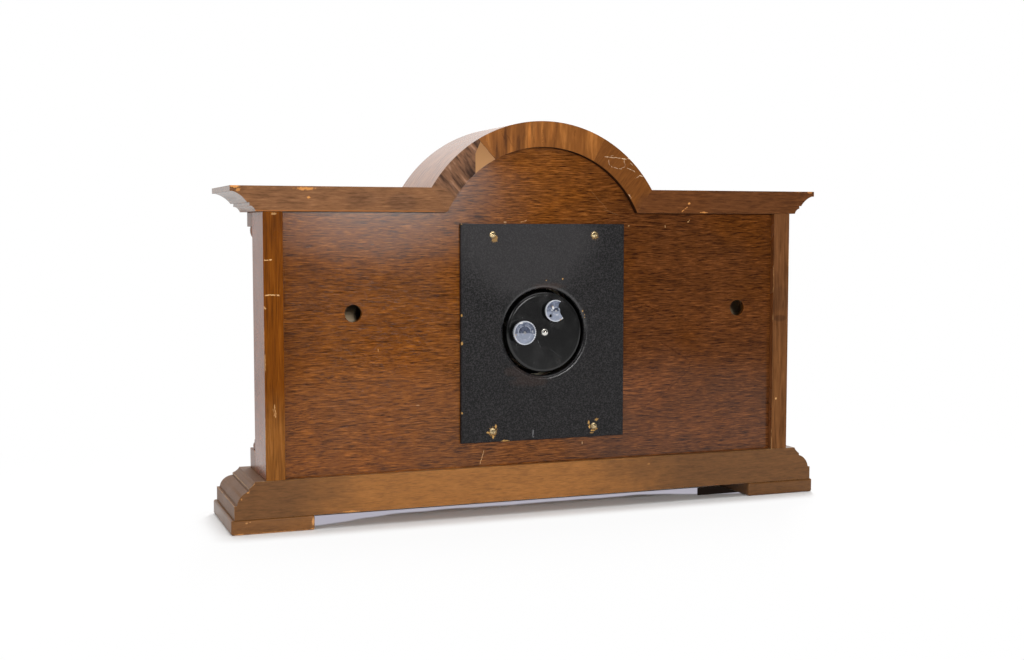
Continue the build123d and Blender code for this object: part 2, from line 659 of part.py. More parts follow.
def rear_plate_screws():
    """Four round-head screws that hold the rear plate on the back panel."""
    length = REAR_PLATE_THICKNESS + REAR_SCREW_BITE
    slot_angles = (35, 80, 120, 15)
    screws = []
    for place, angle in zip(rear_screw_places(), slot_angles):
        screws.append(slotted_screw(
            REAR_SCREW_HEAD_RADIUS, REAR_SCREW_HEAD_HEIGHT, REAR_SCREW_SHANK_RADIUS, length,
            REAR_PLATE_DEPTH, place.position.X, DIAL_Z + place.position.Y, angle,
        ))
    return Compound(children=[screw.solid() for screw in screws])


# Movement frame

def meeting(first, first_reach, second, second_reach):
    """Point at given distances from two points, to the left of the way from the first to the second."""
    run = second[0] - first[0]
    rise = second[1] - first[1]
    span = math.hypot(run, rise)
    along = (first_reach**2 - second_reach**2 + span**2) / (2 * span)
    off = math.sqrt(first_reach**2 - along**2)
    return (
        first[0] + run / span * along - rise / span * off,
        first[1] + rise / span * along + run / span * off,
    )


TRAIN_REACH = TRAIN_MODULE * (TRAIN_WHEEL_TEETH + TRAIN_PINION_LEAVES) / 2
CENTRE_REACH = TRAIN_MODULE * (CENTRE_WHEEL_TEETH + TRAIN_PINION_LEAVES) / 2
CENTRE = (0.0, 0.0)
ROTOR = (ROTOR_X, ROTOR_RISE)
SETTING = (SETTING_X, SETTING_RISE)
FIRST = meeting(CENTRE, TRAIN_RING, ROTOR, TRAIN_REACH)
SECOND = meeting(CENTRE, TRAIN_RING, FIRST, TRAIN_REACH)
THIRD = meeting(CENTRE, CENTRE_REACH, SECOND, TRAIN_REACH)
SETTING_REACH = math.hypot(*SETTING)
CANNON_MODULE = 2 * SETTING_REACH / (CANNON_LEAVES + MINUTE_WHEEL_TEETH)
HOUR_MODULE = 2 * SETTING_REACH / (MINUTE_PINION_LEAVES + HOUR_WHEEL_TEETH)


def layer_depth(layer):
    """Depth of the back face of a train wheel, counted from the first wheel."""
    return TRAIN_BACK + TRAIN_FIRST_LAYER + layer * TRAIN_LAYER_PITCH


def train_holes():
    """Pivot holes that both plates share, as (place, radius) pairs."""
    pivot = TRAIN_PIVOT_RADIUS + PIVOT_CLEARANCE
    return [
        (FIRST, pivot),
        (SECOND, pivot),
        (THIRD, pivot),
        (SETTING, SETTING_ARBOR_RADIUS + PIVOT_CLEARANCE),
    ]


def pillar_places():
    """Places of the pillars between the movement's plates."""
    return PolarLocations(PILLAR_CIRCLE_RADIUS, PILLAR_COUNT, start_angle=60)


def back_plate():
    """Rear plate of the movement, with the pivot holes and the feet of the pillars."""
    face = Circle(BACK_PLATE_RADIUS)
    holes = train_holes()
    holes.append((ROTOR, ROTOR_ARBOR_RADIUS + PIVOT_CLEARANCE))
    holes.append((CENTRE, CENTRE_PIVOT_RADIUS + PIVOT_CLEARANCE))
    for place, radius in holes:
        face -= Pos(*place) * Circle(radius)
    return extrude(at(MOVEMENT_BACK_DEPTH) * face, PLATE_THICKNESS)


def front_plate():
    """Front plate of the movement, which closes the dust cover and carries the dial feet."""
    face = Circle(FRONT_PLATE_RADIUS)
    holes = train_holes()
    holes.append((ROTOR, TRAIN_PIVOT_RADIUS + PIVOT_CLEARANCE))
    holes.append((CENTRE, CENTRE_ARBOR_RADIUS + PIVOT_CLEARANCE))
    for place, radius in holes:
        face -= Pos(*place) * Circle(radius)
    face -= pillar_places() * Circle(PILLAR_SCREW_RADIUS + SEAT_CLEARANCE)
    return extrude(at(TRAIN_FRONT) * face, PLATE_THICKNESS)


def pillars():
    """Pillars riveted to the back plate, tapped at the front for the pillar screws."""
    rods = []
    for place in pillar_places():
        x = place.position.X
        z = DIAL_Z + place.position.Y
        tapped = PILLAR_SCREW_LENGTH - PLATE_THICKNESS + SIDE_SHAKE
        rod = disc(PILLAR_RADIUS, TRAIN_BACK, TRAIN_SPACE, x, z)
        rod -= disc(PILLAR_SCREW_RADIUS + SEAT_CLEARANCE, TRAIN_FRONT - tapped, tapped, x, z)
        rods.append(rod.solid())
    return Compound(children=rods)


def pillar_screws():
    """Cheese-head screws through the front plate into the pillars."""
    screws = []
    for place in pillar_places():
        x = place.position.X
        z = DIAL_Z + place.position.Y
        screw = disc(PILLAR_SCREW_HEAD_RADIUS, MOVEMENT_FRONT, PILLAR_SCREW_HEAD_HEIGHT, x, z)
        screw += disc(PILLAR_SCREW_RADIUS, MOVEMENT_FRONT - PILLAR_SCREW_LENGTH, PILLAR_SCREW_LENGTH, x, z)
        screws.append(screw.solid())
    return Compound(children=screws)


def dust_cover():
    """Drawn round cover over the movement, closed at the rear, with holes for the knobs and the lead."""
    corner = COVER_FACE_DEPTH + COVER_ROUND
    inner_round = COVER_ROUND - COVER_SHEET
    inner_face = COVER_FACE_DEPTH + COVER_SHEET
    bulge = 1 - math.sqrt(0.5)
    section = make_face([
        Line((0, COVER_FACE_DEPTH), (COVER_RADIUS - COVER_ROUND, COVER_FACE_DEPTH)),
        ThreePointArc(
            (COVER_RADIUS - COVER_ROUND, COVER_FACE_DEPTH),
            (COVER_RADIUS - COVER_ROUND * bulge, COVER_FACE_DEPTH + COVER_ROUND * bulge),
            (COVER_RADIUS, corner),
        ),
        Line((COVER_RADIUS, corner), (COVER_RADIUS, TRAIN_FRONT)),
        Line((COVER_RADIUS, TRAIN_FRONT), (COVER_INNER_RADIUS, TRAIN_FRONT)),
        Line((COVER_INNER_RADIUS, TRAIN_FRONT), (COVER_INNER_RADIUS, corner)),
        ThreePointArc(
            (COVER_INNER_RADIUS, corner),
            (COVER_INNER_RADIUS - inner_round * bulge, inner_face + inner_round * bulge),
            (COVER_INNER_RADIUS - inner_round, inner_face),
        ),
        Line((COVER_INNER_RADIUS - inner_round, inner_face), (0, inner_face)),
        Line((0, inner_face), (0, COVER_FACE_DEPTH)),
    ])
    cover = turned(section)
    holes = (
        (CENTRE, STUD_RADIUS + COVER_CLEARANCE),
        (ROTOR, ROTOR_ARBOR_RADIUS + COVER_CLEARANCE),
        (SETTING, SETTING_ARBOR_RADIUS + COVER_CLEARANCE),
    )
    for place, radius in holes:
        cover -= disc(radius, COVER_FACE_DEPTH - COVER_SHEET, COVER_SHEET * 3, place[0], DIAL_Z + place[1])
    slot_depth = (TRAIN_BACK + TRAIN_FRONT) / 2
    slot = Plane(origin=(TERMINAL_X, BACK_Y - slot_depth, DIAL_Z), x_dir=(1, 0, 0), z_dir=(0, 0, -1))
    return cover - extrude(slot * Circle(LEAD_SLOT_RADIUS), COVER_RADIUS * 2)


def cover_stud():
    """Stud on the back plate that the dust cover is held by."""
    end = COVER_FACE_DEPTH - COVER_NUT_SKIRT
    flange = disc(STUD_FLANGE_RADIUS, MOVEMENT_BACK_DEPTH - STUD_FLANGE_HEIGHT, STUD_FLANGE_HEIGHT)
    return flange + disc(STUD_RADIUS, end, MOVEMENT_BACK_DEPTH - end)


def cover_nut():
    """Polished domed nut in the middle of the dust cover."""
    skirt_end = COVER_FACE_DEPTH - COVER_NUT_SKIRT
    nut = disc(COVER_NUT_RADIUS, skirt_end, COVER_NUT_SKIRT)
    nut += turned(cap_section(COVER_NUT_RADIUS, skirt_end, -COVER_NUT_CROWN))
    return nut - disc(STUD_RADIUS + SEAT_CLEARANCE, skirt_end - SIDE_SHAKE, COVER_NUT_SKIRT + SIDE_SHAKE)


# Motor

def rotor_place(face, depth, length):
    """Extrude a face about the rotor's axis."""
    return extrude(at(depth, ROTOR_X, DIAL_Z + ROTOR_RISE) * face, length)


COIL_DEPTH = TRAIN_BACK + STATOR_SHEET
STATOR_INNER_RADIUS = STATOR_RADIUS - STATOR_SHEET
POLE_RADIUS = STATOR_INNER_RADIUS - POLE_CLAW_THICKNESS
ROTOR_RADIUS = POLE_RADIUS - ROTOR_AIR_GAP
CLAW_DEPTH = TRAIN_BACK + STATOR_LENGTH - POLE_CLAW_LENGTH
ROTOR_DEPTH = CLAW_DEPTH + (POLE_CLAW_LENGTH - ROTOR_LENGTH) / 2


def stator_cup():
    """Soft-iron cup round the rotor, with a ring of pole claws inside its mouth."""
    bore = ROTOR_ARBOR_RADIUS + COVER_CLEARANCE
    cup = rotor_place(Circle(STATOR_RADIUS) - Circle(bore), TRAIN_BACK, STATOR_SHEET)
    cup += rotor_place(Circle(STATOR_RADIUS) - Circle(STATOR_INNER_RADIUS), TRAIN_BACK, STATOR_LENGTH)
    claw_angle = 180 / POLE_COUNT
    claw = polygon([
        polar(POLE_RADIUS, -claw_angle / 2),
        polar(STATOR_INNER_RADIUS + STATOR_SHEET / 2, -claw_angle / 2),
        polar(STATOR_INNER_RADIUS + STATOR_SHEET / 2, claw_angle / 2),
        polar(POLE_RADIUS, claw_angle / 2),
    ])
    claws = Sketch() + PolarLocations(0, POLE_COUNT) * claw
    return cup + rotor_place(claws, CLAW_DEPTH, POLE_CLAW_LENGTH)


def coil_bobbin():
    """Flanged bobbin at the bottom of the stator cup."""
    outer = STATOR_INNER_RADIUS - COVER_CLEARANCE
    bore = ROTOR_ARBOR_RADIUS + COVER_CLEARANCE
    bobbin = rotor_place(Circle(COIL_CORE_RADIUS) - Circle(bore), COIL_DEPTH, COIL_LENGTH)
    for depth in (COIL_DEPTH, COIL_DEPTH + COIL_LENGTH - COIL_FLANGE):
        bobbin += rotor_place(Circle(outer) - Circle(bore), depth, COIL_FLANGE)
    return bobbin


def coil_winding():
    """Winding between the bobbin's flanges."""
    outer = STATOR_INNER_RADIUS - COVER_CLEARANCE * 2
    face = Circle(outer) - Circle(COIL_CORE_RADIUS + SEAT_CLEARANCE)
    return rotor_place(face, COIL_DEPTH + COIL_FLANGE, COIL_LENGTH - COIL_FLANGE * 2)


def rotor():
    """Salient-pole rotor, notched between its poles."""
    face = Circle(ROTOR_RADIUS) - Circle(ROTOR_ARBOR_RADIUS + SEAT_CLEARANCE)
    notch_width = math.pi * ROTOR_RADIUS / POLE_COUNT
    face -= PolarLocations(ROTOR_RADIUS, POLE_COUNT) * Rectangle(ROTOR_NOTCH * 2, notch_width)
    return rotor_place(face, ROTOR_DEPTH, ROTOR_LENGTH)


def terminal_block():
    """Moulded block on the back plate that the mains lead is joined to."""
    z = DIAL_Z - TERMINAL_DROP
    low_x = TERMINAL_X - TERMINAL_WIDTH / 2
    block = board(
        low_x, low_x + TERMINAL_WIDTH, TRAIN_BACK, TRAIN_BACK + TERMINAL_LENGTH,
        z - TERMINAL_HEIGHT / 2, z + TERMINAL_HEIGHT / 2,
    )
    tapped = TERMINAL_SCREW_BITE + SIDE_SHAKE
    for x in terminal_places():
        block -= disc(
            TERMINAL_SCREW_RADIUS + SEAT_CLEARANCE, TRAIN_BACK + TERMINAL_LENGTH - tapped, tapped, x, z
        )
    return block


def terminal_places():
    """Positions of the two terminal screws across the block."""
    return (TERMINAL_X - TERMINAL_WIDTH / 4, TERMINAL_X + TERMINAL_WIDTH / 4)


def terminal_screws():
    """Two terminal screws."""
    z = DIAL_Z - TERMINAL_DROP
    seat = TRAIN_BACK + TERMINAL_LENGTH
    screws = []
    for x in terminal_places():
        screw = disc(TERMINAL_SCREW_RADIUS, seat - TERMINAL_SCREW_BITE, TERMINAL_SCREW_BITE, x, z)
        screw += disc(TERMINAL_SCREW_HEAD, seat, TERMINAL_SCREW_RADIUS, x, z)
        screws.append(screw.solid())
    return Compound(children=screws)


# Gears

def toothed(teeth, module, addendum, dedendum, root_share, tip_share, tooth_angle):
    """Toothed face with flat-sided teeth, one of them centred on an angle in degrees."""
    pitch = 360 / teeth
    root = module * (teeth / 2 - dedendum)
    tip = module * (teeth / 2 + addendum)
    points = []
    for tooth in range(teeth):
        middle = tooth_angle + tooth * pitch
        points.append(polar(root, middle - root_share * pitch / 2))
        points.append(polar(tip, middle - tip_share * pitch / 2))
        points.append(polar(tip, middle + tip_share * pitch / 2))
        points.append(polar(root, middle + root_share * pitch / 2))
    return polygon(points)


def bearing(place, other):
    """Angle of the way from one place to another, in degrees."""
    return math.degrees(math.atan2(other[1] - place[1], other[0] - place[0]))


def wheel_face(teeth, module, place, mate):
    """Wheel with one tooth on the line to the pinion that it meshes with."""
    return toothed(
        teeth, module, WHEEL_ADDENDUM, WHEEL_DEDENDUM, WHEEL_ROOT_SHARE, WHEEL_TIP_SHARE, bearing(place, mate)
    )


def pinion_face(leaves, module, place, mate):
    """Pinion with one space on the line to the wheel that it meshes with."""
    return toothed(
        leaves, module, LEAF_ADDENDUM, LEAF_DEDENDUM, LEAF_ROOT_SHARE, LEAF_TIP_SHARE,
        bearing(place, mate) + 180 / leaves,
    )


def crossed_out(face, teeth, module):
    """Wheel with windows between its arms."""
    rim = module * (teeth / 2 - WHEEL_DEDENDUM) - WHEEL_RIM
    arms = PolarLocations(rim / 2, WHEEL_ARMS) * Rectangle(rim + WHEEL_RIM, WHEEL_ARM_WIDTH)
    return face - (Circle(rim) - Circle(WHEEL_HUB_RADIUS) - arms)


def placed(face, place, depth, length):
    """Extrude a face about an arbor's place."""
    return extrude(at(depth, place[0], DIAL_Z + place[1]) * face, length)


def train_wheel(place, mate, layer):
    """Crossed-out brass wheel on a train arbor, driven by the pinion at its mate."""
    face = crossed_out(
        wheel_face(TRAIN_WHEEL_TEETH, TRAIN_MODULE, place, mate), TRAIN_WHEEL_TEETH, TRAIN_MODULE
    )
    face -= Circle(TRAIN_ARBOR_RADIUS + SEAT_CLEARANCE)
    return placed(face, place, layer_depth(layer), TRAIN_WHEEL_THICKNESS)


def train_arbor(place, mate, layer):
    """Steel arbor with a cut pinion that drives the wheel of the given layer."""
    back = TRAIN_BACK + SIDE_SHAKE
    front = TRAIN_FRONT - SIDE_SHAKE
    span = MOVEMENT_FRONT - MOVEMENT_BACK_DEPTH
    pivots = placed(Circle(TRAIN_PIVOT_RADIUS), place, MOVEMENT_BACK_DEPTH, span)
    arbor = placed(Circle(TRAIN_ARBOR_RADIUS), place, back, front - back)
    leaves = pinion_face(TRAIN_PINION_LEAVES, TRAIN_MODULE, place, mate)
    return pivots + arbor + placed(leaves, place, layer_depth(layer) - TRAIN_PINION_LEAD, TRAIN_PINION_LENGTH)


def rotor_arbor():
    """Arbor of the rotor, from the starting knob at the rear to its pivot in the front plate."""
    knob_end = -KNOB_STANDOFF - START_HUB_LENGTH
    shoulder = TRAIN_BACK + STATOR_LENGTH + SIDE_SHAKE
    thick = placed(Circle(ROTOR_ARBOR_RADIUS), ROTOR, knob_end, shoulder - knob_end)
    thin = placed(Circle(TRAIN_ARBOR_RADIUS), ROTOR, shoulder, TRAIN_FRONT - SIDE_SHAKE - shoulder)
    pivot = placed(Circle(TRAIN_PIVOT_RADIUS), ROTOR, TRAIN_FRONT - SIDE_SHAKE, PLATE_THICKNESS + SIDE_SHAKE)
    leaves = pinion_face(TRAIN_PINION_LEAVES, TRAIN_MODULE, ROTOR, FIRST)
    pinion = placed(leaves, ROTOR, layer_depth(0) - TRAIN_PINION_LEAD, TRAIN_PINION_LENGTH)
    return thick + thin + pivot + pinion


CENTRE_LAYER = 3
CLUTCH_FRONT = layer_depth(CENTRE_LAYER) - SIDE_SHAKE / 2
COLLAR_FRONT = CLUTCH_FRONT - CLUTCH_DISH


def centre_wheel():
    """Last wheel of the train, free on the centre arbor and driven round with it by friction."""
    face = crossed_out(
        wheel_face(CENTRE_WHEEL_TEETH, TRAIN_MODULE, CENTRE, THIRD), CENTRE_WHEEL_TEETH, TRAIN_MODULE
    )
    face -= Circle(CENTRE_ARBOR_RADIUS + PIVOT_CLEARANCE)
    return placed(face, CENTRE, layer_depth(CENTRE_LAYER), TRAIN_WHEEL_THICKNESS)


def clutch_spring():
    """Dished friction spring between the arbor's collar and the centre wheel."""
    bore = CENTRE_ARBOR_RADIUS + SEAT_CLEARANCE
    section = polygon([
        (bore, COLLAR_FRONT),
        (CLUTCH_COLLAR_RADIUS, COLLAR_FRONT),
        (CLUTCH_RADIUS, CLUTCH_FRONT - CLUTCH_SHEET),
        (CLUTCH_RADIUS, CLUTCH_FRONT),
        (CLUTCH_COLLAR_RADIUS, COLLAR_FRONT + CLUTCH_SHEET),
        (bore, COLLAR_FRONT + CLUTCH_SHEET),
    ])
    return turned(section)


def centre_arbor():
    """Arbor that carries the hands' friction collar and the cannon pinion."""
    back = TRAIN_BACK + SIDE_SHAKE
    arbor = disc(CENTRE_ARBOR_RADIUS, back, CENTRE_ARBOR_END - back)
    arbor += disc(CENTRE_PIVOT_RADIUS, MOVEMENT_BACK_DEPTH + SIDE_SHAKE, PLATE_THICKNESS)
    return arbor + disc(CLUTCH_COLLAR_RADIUS, COLLAR_FRONT - CLUTCH_COLLAR_LENGTH, CLUTCH_COLLAR_LENGTH)


# Motion work

def cannon_pinion():
    """Pinion on a pipe that carries the minute hand."""
    leaves = pinion_face(CANNON_LEAVES, CANNON_MODULE, CENTRE, SETTING)
    cannon = placed(leaves, CENTRE, CANNON_DEPTH, MOTION_PINION_LENGTH)
    cannon += disc(CANNON_PIPE_RADIUS, CANNON_DEPTH, CANNON_END - CANNON_DEPTH)
    return cannon - disc(CENTRE_ARBOR_RADIUS + SEAT_CLEARANCE, CANNON_DEPTH, CANNON_END - CANNON_DEPTH)


def minute_wheel():
    """Wheel on the hand-setting arbor, in mesh with the cannon pinion."""
    face = crossed_out(
        wheel_face(MINUTE_WHEEL_TEETH, CANNON_MODULE, SETTING, CENTRE), MINUTE_WHEEL_TEETH, CANNON_MODULE
    )
    face -= Circle(SETTING_ARBOR_RADIUS + SEAT_CLEARANCE)
    return placed(face, SETTING, MINUTE_WHEEL_DEPTH, MOTION_WHEEL_THICKNESS)


def setting_arbor():
    """Hand-setting arbor through both plates, with the minute pinion cut on its front end."""
    knob_end = -KNOB_STANDOFF - KNOB_HUB_LENGTH
    arbor = placed(Circle(SETTING_ARBOR_RADIUS), SETTING, knob_end, SETTING_NOSE_DEPTH - knob_end)
    leaves = pinion_face(MINUTE_PINION_LEAVES, HOUR_MODULE, SETTING, CENTRE)
    return arbor + placed(leaves, SETTING, MINUTE_PINION_DEPTH, MOTION_PINION_LENGTH)


def hour_wheel():
    """Hour wheel and its pipe, which runs on the cannon pinion and carries the hour hand."""
    face = crossed_out(
        wheel_face(HOUR_WHEEL_TEETH, HOUR_MODULE, CENTRE, SETTING), HOUR_WHEEL_TEETH, HOUR_MODULE
    )
    wheel = placed(face, CENTRE, HOUR_WHEEL_DEPTH, MOTION_WHEEL_THICKNESS)
    length = HOUR_PIPE_END - HOUR_WHEEL_DEPTH
    wheel += disc(HOUR_PIPE_RADIUS, HOUR_WHEEL_DEPTH, length)
    return wheel - disc(CANNON_PIPE_RADIUS + PIVOT_CLEARANCE, HOUR_WHEEL_DEPTH, length)


# Knobs

KNOB_FACE = -KNOB_PROUD
KNOB_WEB_DEPTH = KNOB_FACE + KNOB_SKIRT_LENGTH - KNOB_WEB


def knob_blank():
    """Section of a whole knob, as (radius, depth): hub, web and skirt."""
    hub_front = -KNOB_STANDOFF
    hub_back = hub_front - KNOB_HUB_LENGTH
    web_front = KNOB_WEB_DEPTH + KNOB_WEB
    skirt_inner = KNOB_RADIUS - KNOB_SKIRT_WALL
    return polygon([
        (0, hub_front),
        (KNOB_HUB_RADIUS, hub_front),
        (KNOB_HUB_RADIUS, web_front),
        (KNOB_RADIUS, web_front),
        (KNOB_RADIUS, KNOB_FACE),
        (skirt_inner, KNOB_FACE),
        (skirt_inner, KNOB_WEB_DEPTH),
        (KNOB_HUB_RADIUS, KNOB_WEB_DEPTH),
        (KNOB_HUB_RADIUS, hub_back),
        (0, hub_back),
    ])


def setting_knob():
    """Whole clear knob, fluted round its skirt."""
    knob = turned(knob_blank(), SETTING_X, DIAL_Z + SETTING_RISE)
    flutes = Sketch() + PolarLocations(KNOB_RADIUS, KNOB_FLUTES) * Circle(KNOB_FLUTE_RADIUS)
    knob -= placed(flutes, SETTING, KNOB_FACE, KNOB_SKIRT_LENGTH)
    return knob - placed(Circle(SETTING_ARBOR_RADIUS + SEAT_CLEARANCE), SETTING, KNOB_FACE, KNOB_PROUD)


def start_knob():
    """Clear starting knob whose skirt and one side of its web are broken away."""
    hub_back = -KNOB_STANDOFF - START_HUB_LENGTH
    web_depth = hub_back + START_HUB_RISE
    knob = placed(Circle(START_KNOB_RADIUS), ROTOR, web_depth, START_KNOB_WEB)
    broken = polygon([
        (KNOB_HUB_RADIUS * 0.6, KNOB_HUB_RADIUS * 0.6),
        polar(START_KNOB_RADIUS * 0.72, KNOB_BREAK_HIGH + 8),
        polar(START_KNOB_RADIUS * 1.2, KNOB_BREAK_HIGH),
        (START_KNOB_RADIUS * 1.6, 0),
        polar(START_KNOB_RADIUS * 1.2, KNOB_BREAK_LOW),
        polar(START_KNOB_RADIUS * 0.6, KNOB_BREAK_LOW + 12),
    ])
    seen_from_behind = mirror(broken, Plane.YZ)
    knob -= placed(seen_from_behind, ROTOR, web_depth, START_KNOB_WEB)
    chip = polar(START_KNOB_RADIUS * 0.68, 180 - KNOB_CHIP_ANGLE)
    knob -= placed(Pos(*chip) * Circle(KNOB_CHIP_RADIUS), ROTOR, web_depth, START_KNOB_WEB)
    knob += placed(Circle(KNOB_HUB_RADIUS), ROTOR, hub_back, START_HUB_LENGTH)
    return knob - placed(Circle(ROTOR_ARBOR_RADIUS + SEAT_CLEARANCE), ROTOR, KNOB_FACE, KNOB_PROUD)


# Dial, hands and bezel

def dial():
    """Sheet dial on the front panel."""
    return tube(DIAL_RADIUS, HOUR_PIPE_RADIUS + DIAL_BORE_GAP, SIDE_DEPTH, DIAL_SHEET)


def dial_feet():
    """Posts that carry the movement behind the dial."""
    feet = []
    length = SIDE_DEPTH - MOVEMENT_FRONT
    for place in PolarLocations(DIAL_FOOT_CIRCLE_RADIUS, DIAL_FOOT_COUNT, start_angle=90):
        post = disc(DIAL_FOOT_RADIUS, MOVEMENT_FRONT, length, place.position.X, DIAL_Z + place.position.Y)
        feet.append(post.solid())
    return Compound(children=feet)


def hand_face(length, width, shoulder_share):
    """Spade hand pointing up: a boss, a waisted stem, a leaf and a slim point."""
    shoulder = length * shoulder_share
    waist = HAND_TIP_WIDTH
    leaf_end = shoulder + width * 1.6
    stem = polygon([(-waist, 0), (waist, 0), (waist * 0.8, shoulder), (-waist * 0.8, shoulder)])
    leaf = make_face([
        ThreePointArc((0, shoulder - width * 0.4), (width / 2, shoulder + width * 0.35), (0, leaf_end)),
        ThreePointArc((0, leaf_end), (-width / 2, shoulder + width * 0.35), (0, shoulder - width * 0.4)),
    ])
    point = polygon([
        (-HAND_TIP_WIDTH, leaf_end - width),
        (HAND_TIP_WIDTH, leaf_end - width),
        (HAND_TIP_WIDTH / 4, length),
        (-HAND_TIP_WIDTH / 4, length),
    ])
    return Circle(HAND_BOSS_RADIUS) + stem + leaf + point


def hour_hand():
    """Hour hand, pushed on the hour pipe, at twelve."""
    face = hand_face(HOUR_HAND_LENGTH, HOUR_HAND_WIDTH, HOUR_HAND_SHOULDER)
    face -= Circle(HOUR_PIPE_RADIUS + SEAT_CLEARANCE)
    return extrude(at(HOUR_HAND_DEPTH) * face, HAND_SHEET)


def minute_hand():
    """Minute hand on the cannon pinion's end, at twelve."""
    face = hand_face(MINUTE_HAND_LENGTH, MINUTE_HAND_WIDTH, MINUTE_HAND_SHOULDER)
    face -= Circle(CANNON_PIPE_RADIUS + SEAT_CLEARANCE)
    return extrude(at(MINUTE_HAND_DEPTH) * face, HAND_SHEET)


def hand_nut():
    """Small domed nut that holds the minute hand."""
    nut = turned(cap_section(HAND_NUT_RADIUS, CANNON_END, HAND_NUT_HEIGHT))
    tapped = CENTRE_ARBOR_END - CANNON_END + SEAT_CLEARANCE
    return nut - disc(CENTRE_ARBOR_RADIUS + SEAT_CLEARANCE, CANNON_END, tapped)


def bezel_pin_places():
    """Places of the pins in the bezel's flange."""
    return PolarLocations(BEZEL_RADIUS - BEZEL_FLANGE_WIDTH / 2, BEZEL_PIN_COUNT, start_angle=45)


def glass_edge_front():
    """Depth of the glass's front face at the bezel's sight edge."""
    rise = cap_rise(GLASS_RADIUS, GLASS_DOME, BEZEL_SIGHT_RADIUS / GLASS_RADIUS)
    return GLASS_SEAT_DEPTH + GLASS_SHEET + rise


def bezel():
    """Spun brass bezel: a pinned flange, a rounded crown and a lip over the glass's edge."""
    bore = DIAL_RADIUS + BEZEL_CLEARANCE
    crown_foot = BEZEL_RADIUS - BEZEL_FLANGE_WIDTH
    lip_back = glass_edge_front() + SIDE_SHAKE
    lip_front = lip_back + BEZEL_LIP
    flange_front = SIDE_DEPTH + BEZEL_FLANGE
    section = make_face([
        Line((bore, SIDE_DEPTH), (BEZEL_RADIUS, SIDE_DEPTH)),
        Line((BEZEL_RADIUS, SIDE_DEPTH), (BEZEL_RADIUS, flange_front)),
        Line((BEZEL_RADIUS, flange_front), (crown_foot, flange_front)),
        bowed((crown_foot, flange_front), (BEZEL_SIGHT_RADIUS, lip_front), -BEZEL_CROWN),
        Line((BEZEL_SIGHT_RADIUS, lip_front), (BEZEL_SIGHT_RADIUS, lip_back)),
        Line((BEZEL_SIGHT_RADIUS, lip_back), (bore, lip_back)),
        Line((bore, lip_back), (bore, SIDE_DEPTH)),
    ])
    holes = Sketch() + bezel_pin_places() * Circle(BEZEL_PIN_RADIUS + SEAT_CLEARANCE)
    return turned(section) - extrude(at(SIDE_DEPTH) * holes, BEZEL_FLANGE)


def bezel_pins():
    """Round-head pins that hold the bezel on the front panel."""
    pins = []
    seat = SIDE_DEPTH + BEZEL_FLANGE
    head = cap_section(BEZEL_PIN_HEAD, seat, BEZEL_PIN_CROWN)
    for place in bezel_pin_places():
        x = place.position.X
        z = DIAL_Z + place.position.Y
        length = BEZEL_PIN_BITE + BEZEL_FLANGE
        pin = turned(head, x, z) + disc(BEZEL_PIN_RADIUS, seat - length, length, x, z)
        pins.append(pin.solid())
    return Compound(children=pins)


def glass_ring():
    """Ring between the dial and the glass, which holds the glass's edge against the bezel."""
    return tube(DIAL_RADIUS, BEZEL_SIGHT_RADIUS, DIAL_FRONT, GLASS_RING_DEPTH)


def glass():
    """Convex glass."""
    edge_front = GLASS_SEAT_DEPTH + GLASS_SHEET
    section = make_face([
        cap_arc(GLASS_RADIUS, GLASS_SEAT_DEPTH, GLASS_DOME),
        Line((0, GLASS_SEAT_DEPTH + GLASS_DOME), (0, edge_front + GLASS_DOME)),
        cap_arc(GLASS_RADIUS, edge_front, GLASS_DOME),
        Line((GLASS_RADIUS, edge_front), (GLASS_RADIUS, GLASS_SEAT_DEPTH)),
    ])
    return turned(section)


SIDES = {"left": -1, "right": 1}


def case_nodes():
    """Woodwork, from the feet up."""
    nodes = {"plinth": plinth(), "back_panel": back_panel(), "front_panel": front_panel()}
    nodes["glue_blocks"] = glue_blocks()
    for name, side in SIDES.items():
        nodes["foot_" + name] = foot(side)
        nodes["side_" + name] = side_board(side)
        nodes["cornice_" + name] = cornice(side)
        nodes["arch_" + name] = arch_segment(side)
        nodes["column_base_" + name] = column_block(side, BODY_Z, COLUMN_BASE_HEIGHT)
        nodes["column_shaft_" + name] = column_shaft(side)
        nodes["column_capital_" + name] = column_block(side, CORNICE_Z - CAPITAL_HEIGHT, CAPITAL_HEIGHT)
    nodes["arch_crown"] = arch_crown()
    nodes["rear_plate"] = rear_plate()
    nodes["rear_plate_screws"] = rear_plate_screws()
    return nodes


def movement_nodes():
    """Movement frame, motor, train and motion work."""
    return {
        "dust_cover": dust_cover(),
        "cover_stud": cover_stud(),
        "cover_nut": cover_nut(),
        "movement_back_plate": back_plate(),
        "movement_front_plate": front_plate(),
        "movement_pillars": pillars(),
        "pillar_screws": pillar_screws(),
        "stator_cup": stator_cup(),
        "coil_bobbin": coil_bobbin(),
        "coil_winding": coil_winding(),
        "terminal_block": terminal_block(),
        "terminal_screws": terminal_screws(),
        "rotor": rotor(),
        "rotor_arbor": rotor_arbor(),
        "start_knob": start_knob(),
        "first_wheel": train_wheel(FIRST, ROTOR, 0),
        "first_arbor": train_arbor(FIRST, SECOND, 1),
        "second_wheel": train_wheel(SECOND, FIRST, 1),
        "second_arbor": train_arbor(SECOND, THIRD, 2),
        "third_wheel": train_wheel(THIRD, SECOND, 2),
        "third_arbor": train_arbor(THIRD, CENTRE, CENTRE_LAYER),
        "centre_wheel": centre_wheel(),
        "clutch_spring": clutch_spring(),
        "centre_arbor": centre_arbor(),
        "cannon_pinion": cannon_pinion(),
        "minute_wheel": minute_wheel(),
        "setting_arbor": setting_arbor(),
        "setting_knob": setting_knob(),
        "hour_wheel": hour_wheel(),
    }


